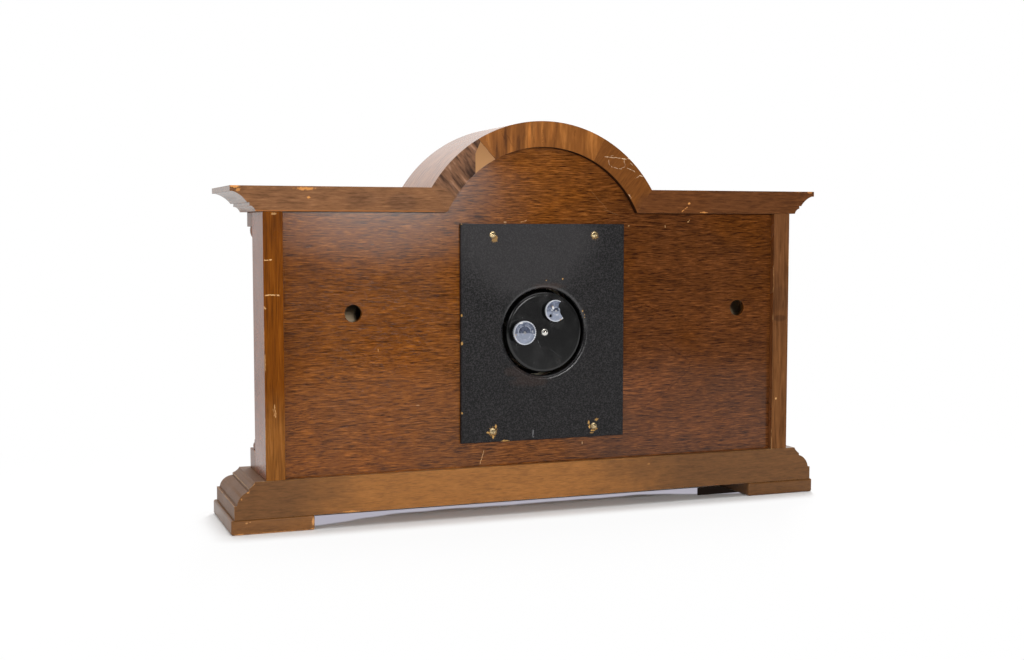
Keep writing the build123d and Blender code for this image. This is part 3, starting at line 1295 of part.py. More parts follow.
def dial_nodes():
    """Dial, hands, bezel and glass."""
    return {
        "dial": dial(),
        "dial_feet": dial_feet(),
        "hour_hand": hour_hand(),
        "minute_hand": minute_hand(),
        "hand_nut": hand_nut(),
        "bezel": bezel(),
        "bezel_pins": bezel_pins(),
        "glass_ring": glass_ring(),
        "glass": glass(),
    }


os.makedirs("parts", exist_ok=True)
for group in (case_nodes(), movement_nodes(), dial_nodes()):
    for node_name, node_shape in group.items():
        export_step(node_shape, os.path.join("parts", node_name + ".step"))
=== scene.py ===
from math import cos, radians, sin, tau

import bmesh
import bpy
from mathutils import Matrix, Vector


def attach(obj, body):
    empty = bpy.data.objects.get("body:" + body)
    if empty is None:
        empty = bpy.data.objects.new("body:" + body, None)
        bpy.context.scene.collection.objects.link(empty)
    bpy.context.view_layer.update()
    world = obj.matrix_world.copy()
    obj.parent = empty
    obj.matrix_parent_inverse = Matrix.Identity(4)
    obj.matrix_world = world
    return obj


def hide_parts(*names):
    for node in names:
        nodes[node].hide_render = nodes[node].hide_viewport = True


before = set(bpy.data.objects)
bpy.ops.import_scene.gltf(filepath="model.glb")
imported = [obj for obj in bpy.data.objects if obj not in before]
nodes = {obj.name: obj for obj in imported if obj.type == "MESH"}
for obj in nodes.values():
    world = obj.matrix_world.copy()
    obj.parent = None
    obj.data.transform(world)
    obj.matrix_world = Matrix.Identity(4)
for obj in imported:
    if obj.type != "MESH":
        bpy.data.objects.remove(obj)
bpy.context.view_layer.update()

# Plinth: one moulded board of close-grained hardwood, stained golden brown and varnished.
# The mould runs round the front and both ends and is cut off square at the back,
# where the sawn face shows short grain and the stain has worn along the top edge.
MM = 0.001


def stain(red, green, blue):
    """A stain or paint from its sample card, as the light values that shaders use."""
    card = (red / 255, green / 255, blue / 255)
    return tuple(c / 12.92 if c < 0.04 else ((c + 0.055) / 1.055) ** 2.4 for c in card) + (1.0,)


def put(tree, kind, settings=None, **sockets):
    """Place a shader node, with inputs named by their labels, or by place as i0, i1."""
    node = tree.nodes.new("ShaderNode" + kind)
    for key, value in (settings or {}).items():
        setattr(node, key, value)
    for key, value in sockets.items():
        by_place = key[0] == "i" and key[1:].isdigit()
        socket = node.inputs[int(key[1:]) if by_place else key.replace("_", " ")]
        if isinstance(value, bpy.types.NodeSocket):
            tree.links.new(value, socket)
        else:
            socket.default_value = value
    return node


def reckon(tree, operation, first, second=0.0):
    return put(tree, "Math", {"operation": operation}, i0=first, i1=second).outputs[0]


def times(tree, first, second):
    return reckon(tree, "MULTIPLY", first, second)


def plus(tree, first, second):
    return reckon(tree, "ADD", first, second)


def minus(tree, first, second):
    return reckon(tree, "SUBTRACT", first, second)


def larger(tree, first, second):
    return reckon(tree, "MAXIMUM", first, second)


def step(tree, value, low, high, start=0.0, end=1.0):
    """A soft step from start to end as the value goes from low to high."""
    how = {"interpolation_type": "SMOOTHSTEP"}
    limits = dict(From_Min=low, From_Max=high, To_Min=start, To_Max=end)
    return put(tree, "MapRange", how, Value=value, **limits).outputs[0]


def tint(tree, share, under, over, how="MIX"):
    settings = {"data_type": "RGBA", "blend_type": how}
    return put(tree, "Mix", settings, i0=share, i6=under, i7=over).outputs[2]


def moved(tree, operation, place, by=(0, 0, 0)):
    """A place worked on axis by axis. A length or a dot product comes out as one value."""
    node = put(tree, "VectorMath", {"operation": operation}, i0=place, i1=by)
    return node.outputs["Value" if operation in ("LENGTH", "DOT_PRODUCT") else "Vector"]


def axes(tree, place):
    return put(tree, "SeparateXYZ", Vector=place).outputs


def joined_axes(tree, **values):
    return put(tree, "CombineXYZ", **values).outputs[0]


def spread(tree, place, scale):
    """The place stretched by its own scale on each axis."""
    return moved(tree, "MULTIPLY", place, scale)


def cloud(tree, place, scale=1.0, detail=2.0, rough=0.5):
    sockets = dict(Vector=place, Scale=scale, Detail=detail, Roughness=rough)
    return put(tree, "TexNoise", **sockets).outputs[0]


def new_group(name, inputs, outputs):
    """A shader group with its inputs and outputs, each given as label and kind."""
    tree = bpy.data.node_groups.new(name, "ShaderNodeTree")
    for side, sockets in (("INPUT", inputs), ("OUTPUT", outputs)):
        for label, kind in sockets.items():
            tree.interface.new_socket(label, in_out=side, socket_type="NodeSocket" + kind)
    return tree, tree.nodes.new("NodeGroupInput").outputs, tree.nodes.new("NodeGroupOutput").inputs


def use(tree, group, **sockets):
    return put(tree, "Group", {"node_tree": group}, **sockets).outputs


def wood_figure():
    """Wood with its grain along X: fibres, dark pores and broad bands of tone."""
    inputs = dict(Vector="Vector", Pale="Color", Middle="Color", Dark="Color", Along="Float")
    inputs |= dict(Across="Float", Wander="Float", Pores="Float", Figure="Float")
    tree, given, out = new_group("wood_figure", inputs, dict(Color="Color", Height="Float"))
    drift = cloud(tree, spread(tree, given["Vector"], (8, 26, 26)), detail=3)
    drift = times(tree, minus(tree, drift, 0.5), given["Wander"])
    shift = joined_axes(tree, Y=drift, Z=drift)
    place = moved(tree, "ADD", given["Vector"], shift)
    pitch = joined_axes(tree, X=given["Along"], Y=given["Across"], Z=given["Across"])
    fibre_place = spread(tree, place, pitch)
    fibre = cloud(tree, fibre_place, 1.0, 4, 0.62)
    streak = cloud(tree, spread(tree, fibre_place, (0.5, 0.36, 0.36)), 1.0, 3, 0.55)
    tone = plus(tree, times(tree, fibre, 0.6), times(tree, streak, 0.4))
    colour = tint(tree, step(tree, tone, 0.36, 0.52), given["Dark"], given["Middle"])
    colour = tint(tree, step(tree, tone, 0.5, 0.66), colour, given["Pale"])
    pore = cloud(tree, spread(tree, fibre_place, (0.9, 1.35, 1.35)), 1.0, 1, 0.5)
    pore = times(tree, step(tree, pore, 0.56, 0.7), given["Pores"])
    colour = tint(tree, pore, colour, tint(tree, 1.0, given["Dark"], (0.45, 0.42, 0.4, 1), "MULTIPLY"))
    band = cloud(tree, spread(tree, place, (5, 34, 34)), 1.0, 3, 0.5)
    band = times(tree, minus(tree, band, 0.5), given["Figure"])
    band = plus(tree, band, 1.0)
    tree.links.new(spread(tree, colour, joined_axes(tree, X=band, Y=band, Z=band)), out[0])
    tree.links.new(minus(tree, fibre, pore), out[1])
    return tree


def scratch_mark():
    """One scratch in the X-Z plane, at its place on a face, with a broken ragged line."""
    inputs = dict(Vector="Vector", Place="Vector", Angle="Float", Length="Float", Width="Float")
    tree, given, out = new_group("scratch_mark", inputs, dict(Mask="Float"))
    near = moved(tree, "SUBTRACT", given["Vector"], given["Place"])
    about_y = {"rotation_type": "Y_AXIS"}
    turned = put(tree, "VectorRotate", about_y, Vector=near, Angle=given["Angle"])
    along, off, across = axes(tree, turned.outputs[0])
    waver = minus(tree, cloud(tree, given["Vector"], 260, 2), 0.5)
    across = plus(tree, across, times(tree, waver, 2.2 * MM))
    half = times(tree, given["Length"], 0.5)
    inside = step(tree, reckon(tree, "ABSOLUTE", along), times(tree, half, 0.75), half, 1, 0)
    half = times(tree, given["Width"], 0.5)
    line = step(tree, reckon(tree, "ABSOLUTE", across), times(tree, half, 0.35), half, 1, 0)
    face = step(tree, reckon(tree, "ABSOLUTE", off), 1.2 * MM, 1.6 * MM, 1, 0)
    broken = step(tree, cloud(tree, given["Vector"], 900, 2), 0.36, 0.5)
    mask = times(tree, times(tree, inside, line), times(tree, face, broken))
    tree.links.new(mask, out[0])
    return tree


def worn_patch():
    """A patch round a place, ragged at its edge, used for chips, stains, shine, painted shade and painted
    light.
    """
    inputs = dict(Vector="Vector", Place="Vector", Reach="Vector", Grit="Float", Ragged="Float")
    tree, given, out = new_group("worn_patch", inputs, dict(Mask="Float"))
    near = moved(tree, "SUBTRACT", given["Vector"], given["Place"])
    near = moved(tree, "DIVIDE", near, given["Reach"])
    away = moved(tree, "LENGTH", near)
    grit = cloud(tree, given["Vector"], given["Grit"], 3, 0.6)
    grit = times(tree, minus(tree, grit, 0.5), given["Ragged"])
    tree.links.new(step(tree, plus(tree, away, grit), 0.55, 1.0, 1, 0), out[0])
    return tree


WOOD_FIGURE = wood_figure()
SCRATCH_MARK = scratch_mark()
RAGGED_PATCH = worn_patch()


def new_finish(name, **fixed):
    """A finish with the plain values of its shader set, and its place on the piece."""
    finish = bpy.data.materials.new(name)
    finish.use_nodes = True
    tree = finish.node_tree
    shader = tree.nodes["Principled BSDF"]
    for label, value in fixed.items():
        shader.inputs[label.replace("_", " ")].default_value = value
    return finish, tree, shader, put(tree, "TexCoord").outputs["Object"]


def feed(shader, **values):
    """Join what was worked out in a finish to the inputs of its shader."""
    for label, value in values.items():
        shader.id_data.links.new(value, shader.inputs[label.replace("_", " ")])


def relief(shader, height, depth, strength):
    bump = put(shader.id_data, "Bump", Height=height, Distance=depth, Strength=strength)
    feed(shader, Normal=bump.outputs[0])


def on_face(depth, *marks):
    """Marks given by X and Z on a flat face, with the depth of that face put in as Y."""
    return [(x, depth, z, *rest) for x, z, *rest in marks]


def scratched(tree, place, marks):
    """The mask of scratches: X, Y, Z in mm, angle in degrees, length and width in mm, and strength."""
    mask = 0.0
    for x, y, z, angle, length, width, strength in marks:
        size = dict(Angle=radians(angle), Length=length * MM, Width=width * MM)
        one = use(tree, SCRATCH_MARK, Vector=place, Place=(x * MM, y * MM, z * MM), **size)[0]
        mask = larger(tree, mask, times(tree, one, strength))
    return mask


def patched(tree, place, marks, grit=700.0, ragged=1.6):
    """The mask of patches for wear, stains, shine and painted light and shade: X, Y, Z and their reach on
    each axis in mm, and strength.
    """
    mask = 0.0
    for x, y, z, reach_x, reach_y, reach_z, strength in marks:
        size = dict(Reach=(reach_x * MM, reach_y * MM, reach_z * MM), Grit=grit, Ragged=ragged)
        one = use(tree, RAGGED_PATCH, Vector=place, Place=(x * MM, y * MM, z * MM), **size)[0]
        mask = larger(tree, mask, times(tree, one, strength))
    return mask


def within(tree, place, corners):
    """The mask of a flat-sided patch, its corners going round in X and Z in mm."""
    mask, soft = 1.0, 0.15 * MM
    for (x, z), (next_x, next_z) in zip(corners, corners[1:] + corners[:1]):
        inward = Vector((z - next_z, 0, next_x - x)).normalized()
        off = moved(tree, "DOT_PRODUCT", place, inward)
        edge = inward.dot(Vector((x, 0, z))) * MM
        mask = times(tree, mask, step(tree, off, edge - soft, edge + soft))
    return mask


def figured(tree, place, pale, middle, dark, turn=(0, 0, 0), along=60, across=1000, wander=0.004, pores=0.6,
            figure=0.5, bend=None):
    """The figure laid on a piece, turned as the piece was cut, or bent to a radius round a height."""
    if bend:
        height, radius = (length * MM for length in bend)
        x, y, z = axes(tree, place)
        z = minus(tree, z, height)
        spoke = moved(tree, "LENGTH", joined_axes(tree, X=x, Z=z))
        arc = times(tree, reckon(tree, "ARCTAN2", x, z), radius)
        place = joined_axes(tree, X=arc, Y=y, Z=spoke)
    turn = [radians(angle) for angle in turn]
    laid = put(tree, "Mapping", {"vector_type": "POINT"}, Vector=place, Rotation=turn)
    size = dict(Along=along, Across=across, Wander=wander, Pores=pores, Figure=figure)
    colours = dict(Pale=stain(*pale), Middle=stain(*middle), Dark=stain(*dark))
    return use(tree, WOOD_FIGURE, Vector=laid.outputs[0], **colours, **size)


def wood(name, pale, middle, dark, roughness=0.42, polish=0.5, bare=(205, 160, 105), scratches=(), chips=(),
         lines=(), stains_and_shade=(), stain_and_shade_tint=(0.46, 0.48, 0.6, 1), glow=(), light=(1.5, 1.45, 1.35, 1), gloss=(),
         inlay_and_shade=(), joined=None, wear=0.0, warm=0.0, **grain):
    """Stained and varnished wood, its grain as the wood was cut and its marks where this piece has them, with
    painted shade, shadow and sheen where they are given.
    """
    finish, tree, shader, place = new_finish(name, Specular_IOR_Level=polish, Coat_Roughness=0.2)
    colour, height = figured(tree, place, pale, middle, dark, **grain)
    if joined:
        other, spots = joined
        share = patched(tree, place, spots, grit=60, ragged=0.7)
        colour = tint(tree, share, colour, figured(tree, place, **other)[0])
    if warm:
        golden = (1.08, 0.96, 0.42, 1)
        share = times(tree, step(tree, cloud(tree, place, 16, 3), 0.4, 0.66), warm)
        colour = tint(tree, share, colour, golden, "MULTIPLY")
    # Stain patches darken the colour: real stains on some pieces, painted shade and painted shadow on others.
    if stains_and_shade:
        colour = tint(tree, patched(tree, place, stains_and_shade, grit=45, ragged=0.4), colour, stain_and_shade_tint, "MULTIPLY")
    # Flat colour patches: let-in wood on the arch, a pale line on the cornice, and painted shadow under the
    # cornice on the back panel.
    for corners, low, high in inlay_and_shade:
        level = step(tree, axes(tree, place)[2], corners[2][1] * MM, corners[0][1] * MM)
        flat_colour = tint(tree, level, stain(*low), stain(*high))
        colour = tint(tree, within(tree, place, corners), colour, flat_colour)
    if lines:
        inked = (0.42, 0.36, 0.32, 1)
        colour = tint(tree, scratched(tree, place, lines), colour, inked, "MULTIPLY")
    # Glow patches lighten the colour; on the stiles they are a painted reflection of the floor.
    if glow:
        colour = tint(tree, patched(tree, place, glow, grit=30, ragged=0.5), colour, light, "MULTIPLY")
    if gloss:
        feed(shader, Coat_Weight=patched(tree, place, gloss, grit=30, ragged=0.4))
    lost = scratched(tree, place, scratches) if scratches else 0.0
    if chips:
        lost = larger(tree, lost, patched(tree, place, chips))
    if wear:
        rubbed = step(tree, cloud(tree, place, 55, 4, 0.65), 0.62 - wear * 0.3, 0.78 - wear * 0.3)
        lost = larger(tree, lost, times(tree, rubbed, 0.85))
    colour = tint(tree, lost, colour, stain(*bare))
    dull = times(tree, cloud(tree, place, 38, 3), 0.16)
    dull = plus(tree, dull, times(tree, lost, 0.25))
    feed(shader, Base_Color=colour, Roughness=plus(tree, dull, roughness - 0.08))
    relief(shader, minus(tree, height, lost), 0.04 * MM, 0.5)
    return finish


def eased(node, ease, finish, edge, faced=None):
    """A copy of a board in place of its CAD node, square edges eased by so many mm, and one side faced."""
    flat, square_edge, smooth, facing = radians(0.3), radians(50), radians(18), 0.9
    board = bpy.data.objects.new(node + "_eased", nodes[node].data.copy())
    bpy.context.collection.objects.link(board)
    bpy.ops.object.select_all(action="DESELECT")
    board.select_set(True)
    bpy.context.view_layer.objects.active = board
    bpy.ops.mesh.customdata_custom_splitnormals_clear()
    board.data.materials.clear()
    board.data.materials.append(finish)
    board.data.materials.append(edge)
    bpy.ops.object.mode_set(mode="EDIT")
    bpy.ops.mesh.select_all(action="SELECT")
    bpy.ops.mesh.remove_doubles(threshold=0.004 * MM)
    bpy.ops.mesh.dissolve_limited(angle_limit=flat)
    bpy.ops.mesh.select_all(action="DESELECT")
    mesh = bmesh.from_edit_mesh(board.data)
    least = 2.4 * ease * MM
    wide = {f for f in mesh.faces if f.calc_area() / max(e.calc_length() for e in f.edges) > least}
    for line in mesh.edges:
        square = len(line.link_faces) == 2 and line.is_convex and line.calc_face_angle(0) > square_edge
        line.select_set(square and all(f in wide for f in line.link_faces))
    bmesh.update_edit_mesh(board.data)
    bpy.ops.mesh.bevel(offset=ease * MM, segments=2, clamp_overlap=True, material=1)
    bpy.ops.object.mode_set(mode="OBJECT")
    bpy.ops.object.shade_smooth_by_angle(angle=smooth)
    if faced:
        board.data.materials.append(faced[0])
        for face in board.data.polygons:
            if face.normal.y * faced[1] > facing:
                face.material_index = 2
    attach(board, "case")
    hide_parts(node)
    return board


CASE_BACK = 40.5
PLINTH_STAIN = dict(pale=(160, 104, 50), middle=(147, 95, 43), dark=(128, 82, 37), along=150, across=1200)
PLINTH_STAIN |= dict(wander=0.003, pores=0.25, figure=0.25, roughness=0.34)
plinth_chips = on_face(
    CASE_BACK, (160.6, 12.2, 7, 1.5, 1.0, 0.8), (236.4, 38.4, 1.8, 1.5, 1.3, 0.7),
    (239.8, 32.6, 1.6, 1.5, 1.5, 0.6), (244.6, 27.4, 0.9, 1.5, 1, 0.5), (-93.5, 34, 1.6, 1.5, 1, 0.3),
)
# Painted shade: the plinth and feet are darkened and greyed towards both ends, most towards the -X end.
plinth_end_shade = [(300, 0, 25, 165, 400, 200, 0.95), (-300, 0, 25, 300, 400, 200, 1.0)]
plinth_marks = dict(bare=(206, 142, 78), chips=plinth_chips, stains_and_shade=plinth_end_shade)
plinth_sawn = wood("plinth_sawn", polish=0.26, **plinth_marks, **PLINTH_STAIN)
plinth_mould = wood("plinth_mould", stains_and_shade=plinth_end_shade, polish=0.36, **(PLINTH_STAIN | dict(roughness=0.5)))
plinth_edge = wood("plinth_edge", wear=0.75, stains_and_shade=plinth_end_shade, polish=0.2, **PLINTH_STAIN)
eased("plinth", 0.45, plinth_mould, plinth_edge, faced=(plinth_sawn, 1))

# Feet: two flat blocks of the same stained wood glued under the ends of the plinth,
# standing a little proud of it with a rounded edge, chipped at the corners from being slid about.
foot_chips = on_face(
    CASE_BACK, (190.3, 6.7, 1.2, 2, 3.5, 0.9), (240.9, 9, 1, 1.5, 0.7, 0.6), (238.4, 9.6, 0.7, 1.5, 0.6, 0.5),
    (246, 0.6, 5, 3, 0.8, 0.8), (218, 0.4, 30, 3, 0.8, 0.7), (190.6, 1.2, 2, 3, 0.9, 0.7),
)
foot_glow = on_face(CASE_BACK, (220, 6, 45, 40, 20, 0.55))
# The feet carry the plinth's painted shade towards the ends.
foot_marks = dict(bare=(208, 150, 90), chips=foot_chips, glow=foot_glow, stains_and_shade=plinth_end_shade)
foot_finish = wood("foot_stain", polish=0.28, **foot_marks, **PLINTH_STAIN)
for side in ("left", "right"):
    eased("foot_" + side, 0.4, foot_finish, plinth_edge)

# Sides: solid mahogany boards standing on the plinth, their back edges left as plain stiles.
# The varnish is satin and orange-brown, crossed by pale scratches where the back was levered.
SIDE_STAIN = dict(turn=(0, 90, 0), along=45, across=900, pores=0.45, figure=0.35)
SIDE_TONES = {
    "right": dict(pale=(124, 68, 12), middle=(109, 57, 7), dark=(90, 46, 6)),
    "left": dict(pale=(114, 74, 44), middle=(101, 64, 37), dark=(83, 51, 28)),
}
# The stiles' lower parts are painted lighter, and much bluer on the +X stile, as a painted reflection of the
# floor.
SIDE_LIGHT = {"right": (1.45, 1.95, 7.0, 1), "left": (1.3, 1.3, 1.1, 1)}
side_scratches = on_face(
    CASE_BACK, (222.4, 206.3, 0, 6.5, 1.3, 1), (219.6, 179.8, 1, 12, 1.3, 1),
    (225.5, 170.7, 60, 3, 1.4, 0.8), (218.3, 92.7, 84, 11, 0.9, 0.8), (219.5, 92, 80, 7, 0.8, 0.6),
    (-215, 83.7, 0, 1.6, 1.6, 1),
)
side_chips = on_face(
    CASE_BACK, (217.5, 240.8, 2.8, 1.5, 1.0, 0.5), (225.8, 130, 0.8, 1, 9, 0.5),
    (-225.8, 205, 0.7, 1, 14, 0.5),
)
# Painted shadow: a dark line down the -X stile beside the panel, where the rebate's inner face is in shade.
rebate_shadow = [(-210.9, 37.4, 140, 1.6, 2.6, 200, 1)]
side_stains_and_shadow = on_face(CASE_BACK, (-217.5, 170, 14, 4, 13, 0.35), (-217.8, 153, 8, 4, 3.5, 0.6)) + rebate_shadow
side_painted_sheen = on_face(CASE_BACK, (220, 40, 40, 12, 72, 1), (-218, 62, 40, 12, 95, 0.6))
side_marks = dict(scratches=side_scratches, chips=side_chips, stains_and_shade=side_stains_and_shadow, glow=side_painted_sheen)
side_marks |= dict(bare=(214, 168, 112))
SIDE_POLISH = {
    "right": dict(pale=(142, 72, 12), middle=(126, 60, 7), dark=(104, 48, 6)),
    "left": dict(pale=(124, 74, 40), middle=(110, 64, 33), dark=(90, 51, 26)),
}
for side, tones in SIDE_TONES.items():
    side_sawn = wood("side_sawn_" + side, roughness=0.3, polish=0.04, light=SIDE_LIGHT[side], **side_marks,
                     **tones, **SIDE_STAIN)
    side_polish = wood("side_polish_" + side, roughness=0.26, polish=0.42, **SIDE_POLISH[side], **SIDE_STAIN)
    side_edge = wood("side_edge_" + side, wear=0.35, polish=0.2, **tones, **SIDE_STAIN)
    eased("side_" + side, 0.5, side_polish, side_edge, faced=(side_sawn, 1))

# Front panel: thin plywood with a figured veneer, let in between the sides to carry the dial.
# The veneer's stripe stands upright and is rubbed to a soft gloss.
MOVEMENT_HEIGHT = 146.5
FRONT_VENEER = dict(pale=(158, 98, 48), middle=(128, 74, 32), dark=(84, 44, 18))
FRONT_VENEER |= dict(turn=(0, 90, 0), along=22, across=420)
front_finish = wood("front_veneer", wander=0.012, pores=0.35, figure=0.8, roughness=0.3, **FRONT_VENEER)
front_edge = wood("front_edge", wear=0.3, roughness=0.4, **FRONT_VENEER)
PANEL_INSIDE = 2.5
# Painted shade: inside the case the bare ply is darkened almost to black over the middle and round the lead
# holes.
unlit = [(0, 20, MOVEMENT_HEIGHT, 125, 125, 125, 1)] + on_face(
    PANEL_INSIDE, (140, 162, 9, 20, 40, 1), (150, 178, 40, 20, 15, 1), (164, 162, 8, 20, 30, 1),
    (-178, 163, 11, 20, 13, 1),
)
bare_ply = wood("bare_ply", (222, 200, 168), (206, 182, 148), (176, 150, 116), along=60, across=500,
                pores=0.2, roughness=0.75, stains_and_shade=unlit, stain_and_shade_tint=(0.03, 0.03, 0.03, 1))
eased("front_panel", 0.3, front_finish, front_edge, faced=(bare_ply, 1))

# Back panel: one sheet of mahogany-faced plywood let into a rebate, its arched top inside the cornice.
# Dark open grain runs level across it, and it is rubbed and specked round the movement's plate.
BACK_FACE = 35.5
BACK_PLY = dict(pale=(153, 92, 37), middle=(110, 62, 21), dark=(46, 23, 8))
BACK_PLY |= dict(along=130, across=2600, wander=0.008)
back_scratches = on_face(
    BACK_FACE, (52.2, 47.1, 107, 13, 0.8, 0.75), (16.4, 235.4, 162, 6, 0.8, 0.8),
    (-131.2, 235.9, 140, 3.4, 1.2, 0.9), (-109.3, 231.5, 80, 2.2, 1, 0.7), (137.1, 135.8, 80, 2.4, 0.8, 0.6),
    (105.1, 91.2, 0, 3, 0.8, 0.6), (-35.2, 54.1, 90, 2.4, 0.9, 0.6), (-49.6, 252.7, 45, 22, 1.2, 0.07),
    (-60, 243, 20, 16, 1.4, 0.07),
)
back_chips = on_face(BACK_FACE, (32.5, 234.8, 1.8, 1, 0.6, 0.7), (-76, 232, 1, 1, 0.8, 0.4))
back_lines = on_face(
    BACK_FACE, (-118.9, 127.5, 32, 36, 2.4, 0.6), (-133.5, 114.5, 98, 8, 2.2, 0.6),
    (-122, 102, -39, 29, 2.2, 0.6), (-99.5, 86, -31, 27, 2, 0.5), (92, 148.5, -8, 34, 1.8, 0.6),
    (62, 146, 6, 26, 1.6, 0.5),
)
# Painted shade: the -X side of the panel is darkened and greyed as the light falls off across it.
back_stains_and_shade = on_face(BACK_FACE, (-190, 150, 205, 60, 400, 0.72), (205, 175, 34, 30, 70, 0.3))
back_glow = on_face(
    BACK_FACE, (0, 255, 95, 30, 40, 0.15), (140, 95, 90, 30, 40, 0.2), (-85, 95, 50, 30, 26, 0.5),
    (-150, 55, 95, 30, 45, 0.3),
)
back_gloss = on_face(
    BACK_FACE, (140, 248, 150, 30, 56, 0.55), (0, 46, 300, 30, 34, 0.2), (-120, 72, 150, 30, 66, 0.38),
    (120, 72, 170, 30, 60, 0.24),
)
# Painted shadow: a dark line on the panel just under each cornice.
back_cornice_shadow = [
    ([(211, 242.7), (92, 242.7), (92, 241.4), (211, 241.4)], (70, 42, 22), (20, 11, 6)),
    ([(-92, 242.7), (-211, 242.7), (-211, 241.6), (-92, 241.6)], (60, 34, 16), (24, 13, 7)),
]
back_marks = dict(scratches=back_scratches, chips=back_chips, lines=back_lines, stains_and_shade=back_stains_and_shade)
back_marks |= dict(glow=back_glow, gloss=back_gloss, inlay_and_shade=back_cornice_shadow, stain_and_shade_tint=(0.46, 0.46, 0.9, 1))
back_finish = wood("back_ply_stain", pores=0.75, figure=0.65, roughness=0.16, polish=0.14, warm=0.6,
                   **back_marks, **BACK_PLY)
back_edge = wood("back_ply_edge", polish=0.1, **BACK_PLY)
eased("back_panel", 0.25, back_finish, back_edge, faced=(bare_ply, -1))

# Glue blocks: bare softwood corner blocks and battens inside the case, rubbed in with hot glue.
# They are never seen with the back on, so they are left as sawn, pale and straight in the grain.


def dress(finish, *pieces):
    """Give CAD nodes their finish."""
    for piece in pieces:
        nodes[piece].data.materials[0] = finish


block_finish = wood("block_pine", (214, 176, 122), (198, 156, 100), (170, 126, 76), turn=(0, 90, 0), along=30,
                    across=500, pores=0.15, figure=0.3, roughness=0.7)
dress(block_finish, "glue_blocks")

# Cornice: two moulded lengths of walnut-coloured wood, mitred to the arch at their inner ends.
# The square back edge shows brown sawn grain, rubbed orange at the corner and along the top.
CORNICE_STAIN = dict(along=110, across=900, wander=0.006, pores=0.35, figure=0.5)
end_gloss = [(246, 0, 250, 22, 400, 24, 1.0)]
cornice_polish = wood("cornice_polish", (150, 104, 64), (128, 84, 48), (96, 60, 32), roughness=0.66,
                      polish=0.3, gloss=end_gloss, **CORNICE_STAIN)
CORNICE_TONES = {
    "right": dict(pale=(144, 101, 68), middle=(126, 86, 56), dark=(103, 69, 44)),
    "left": dict(pale=(105, 64, 36), middle=(92, 55, 29), dark=(74, 43, 23)),
}
cornice_chips = on_face(
    CASE_BACK, (194.1, 259.6, 8.5, 1.5, 1.5, 0.8), (191.1, 253, 1.6, 1.5, 1.2, 0.8),
    (246.6, 261, 5.5, 1.5, 1.5, 0.9), (243.6, 258.4, 2, 1.5, 1.8, 0.6), (-129.3, 250.7, 1.2, 1.5, 1.2, 0.8),
    (-143, 243.2, 3.6, 1.5, 0.7, 0.7), (-234, 261.6, 5, 2, 0.7, 0.5), (-246, 260.8, 3, 2, 1, 0.5),
)
cornice_scratches = on_face(CASE_BACK, (-124.9, 245.9, 140, 7.5, 0.9, 0.9))
cornice_stains = on_face(CASE_BACK, (118, 250, 14, 6, 9, 0.5), (150, 252, 16, 6, 8, 0.3))
cornice_seams = [([(240, 243.5), (92, 243.5), (92, 242.7), (240, 242.7)], (150, 92, 46), (150, 96, 54))]
cornice_glow = on_face(CASE_BACK, (-112, 252, 40, 8, 20, 0.35))
cornice_marks = dict(chips=cornice_chips, scratches=cornice_scratches, stains_and_shade=cornice_stains)
cornice_marks |= dict(inlay_and_shade=cornice_seams, bare=(214, 146, 80), glow=cornice_glow, light=(1.3, 1.2, 0.9, 1))
for side, tones in CORNICE_TONES.items():
    cornice_wood = tones | CORNICE_STAIN
    cornice_sawn = wood("cornice_sawn_" + side, roughness=0.35, polish=0.05, **cornice_marks, **cornice_wood)
    cornice_edge = wood("cornice_edge_" + side, wear=0.3, polish=0.1, bare=(206, 150, 92), **cornice_wood)
    eased("cornice_" + side, 0.2, cornice_polish, cornice_edge, faced=(cornice_sawn, 1))

# Arch: three curved blocks sawn from thick boards and glued end to end, moulded like the cornice.
# Each block's sawn grain lies its own way, and over the top runs one polished veneer, bent round the curve.
ARCH_STAIN = dict(wander=0.012, roughness=0.32, polish=0.06)
crown_joint = on_face(CASE_BACK, (48.4, 291, 49, 20, 0.7, 1), (40.9, 291.4, 88, 9, 0.6, 0.5))
crown_lines = on_face(
    CASE_BACK, (2.1, 302, 89, 14, 0.9, 0.8), (-25.4, 306, 105, 6, 1.4, 0.6), (10.4, 304, 78, 15, 1.4, 0.5),
    (30, 299, 60, 12, 1.6, 0.4), (-9, 307, 92, 10, 1.2, 0.35), (36, 303, 66, 8, 1.8, 0.4),
)
crown_glow = on_face(
    CASE_BACK, (13.7, 303.4, 1.7, 4, 15, 0.75), (7.6, 306.5, 1.2, 4, 9, 0.5), (-5, 306, 1.4, 4, 10, 0.3),
)
crown_sawn = wood("crown_sawn", (168, 107, 50), (129, 77, 32), (80, 45, 18), turn=(0, 90, 0), along=22,
                  across=170, pores=0.1, figure=0.7, lines=crown_joint + crown_lines, glow=crown_glow,
                  **ARCH_STAIN)
wedge = [(54.6, 297.8), (42.1, 283.8), (58.8, 271.9), (58.8, 288.1)]
crown_corner = [(52.5, 304), (42.1, 283.8), (54.6, 297.8), (58, 301.5)]
haunch_inlay = [(wedge, (168, 124, 82), (150, 108, 68)), (crown_corner, (132, 80, 35), (126, 76, 34))]
right_foot = (CORNICE_TONES["right"] | CORNICE_STAIN, on_face(CASE_BACK, (92, 249, 22, 8, 17, 1)))
right_sawn = wood("haunch_sawn_right", (184, 142, 116), (118, 82, 58), (54, 36, 27), turn=(0, 50, 0),
                  along=44, across=210, pores=0.5, figure=1.2, lines=crown_joint, inlay_and_shade=haunch_inlay,
                  joined=right_foot, **ARCH_STAIN)
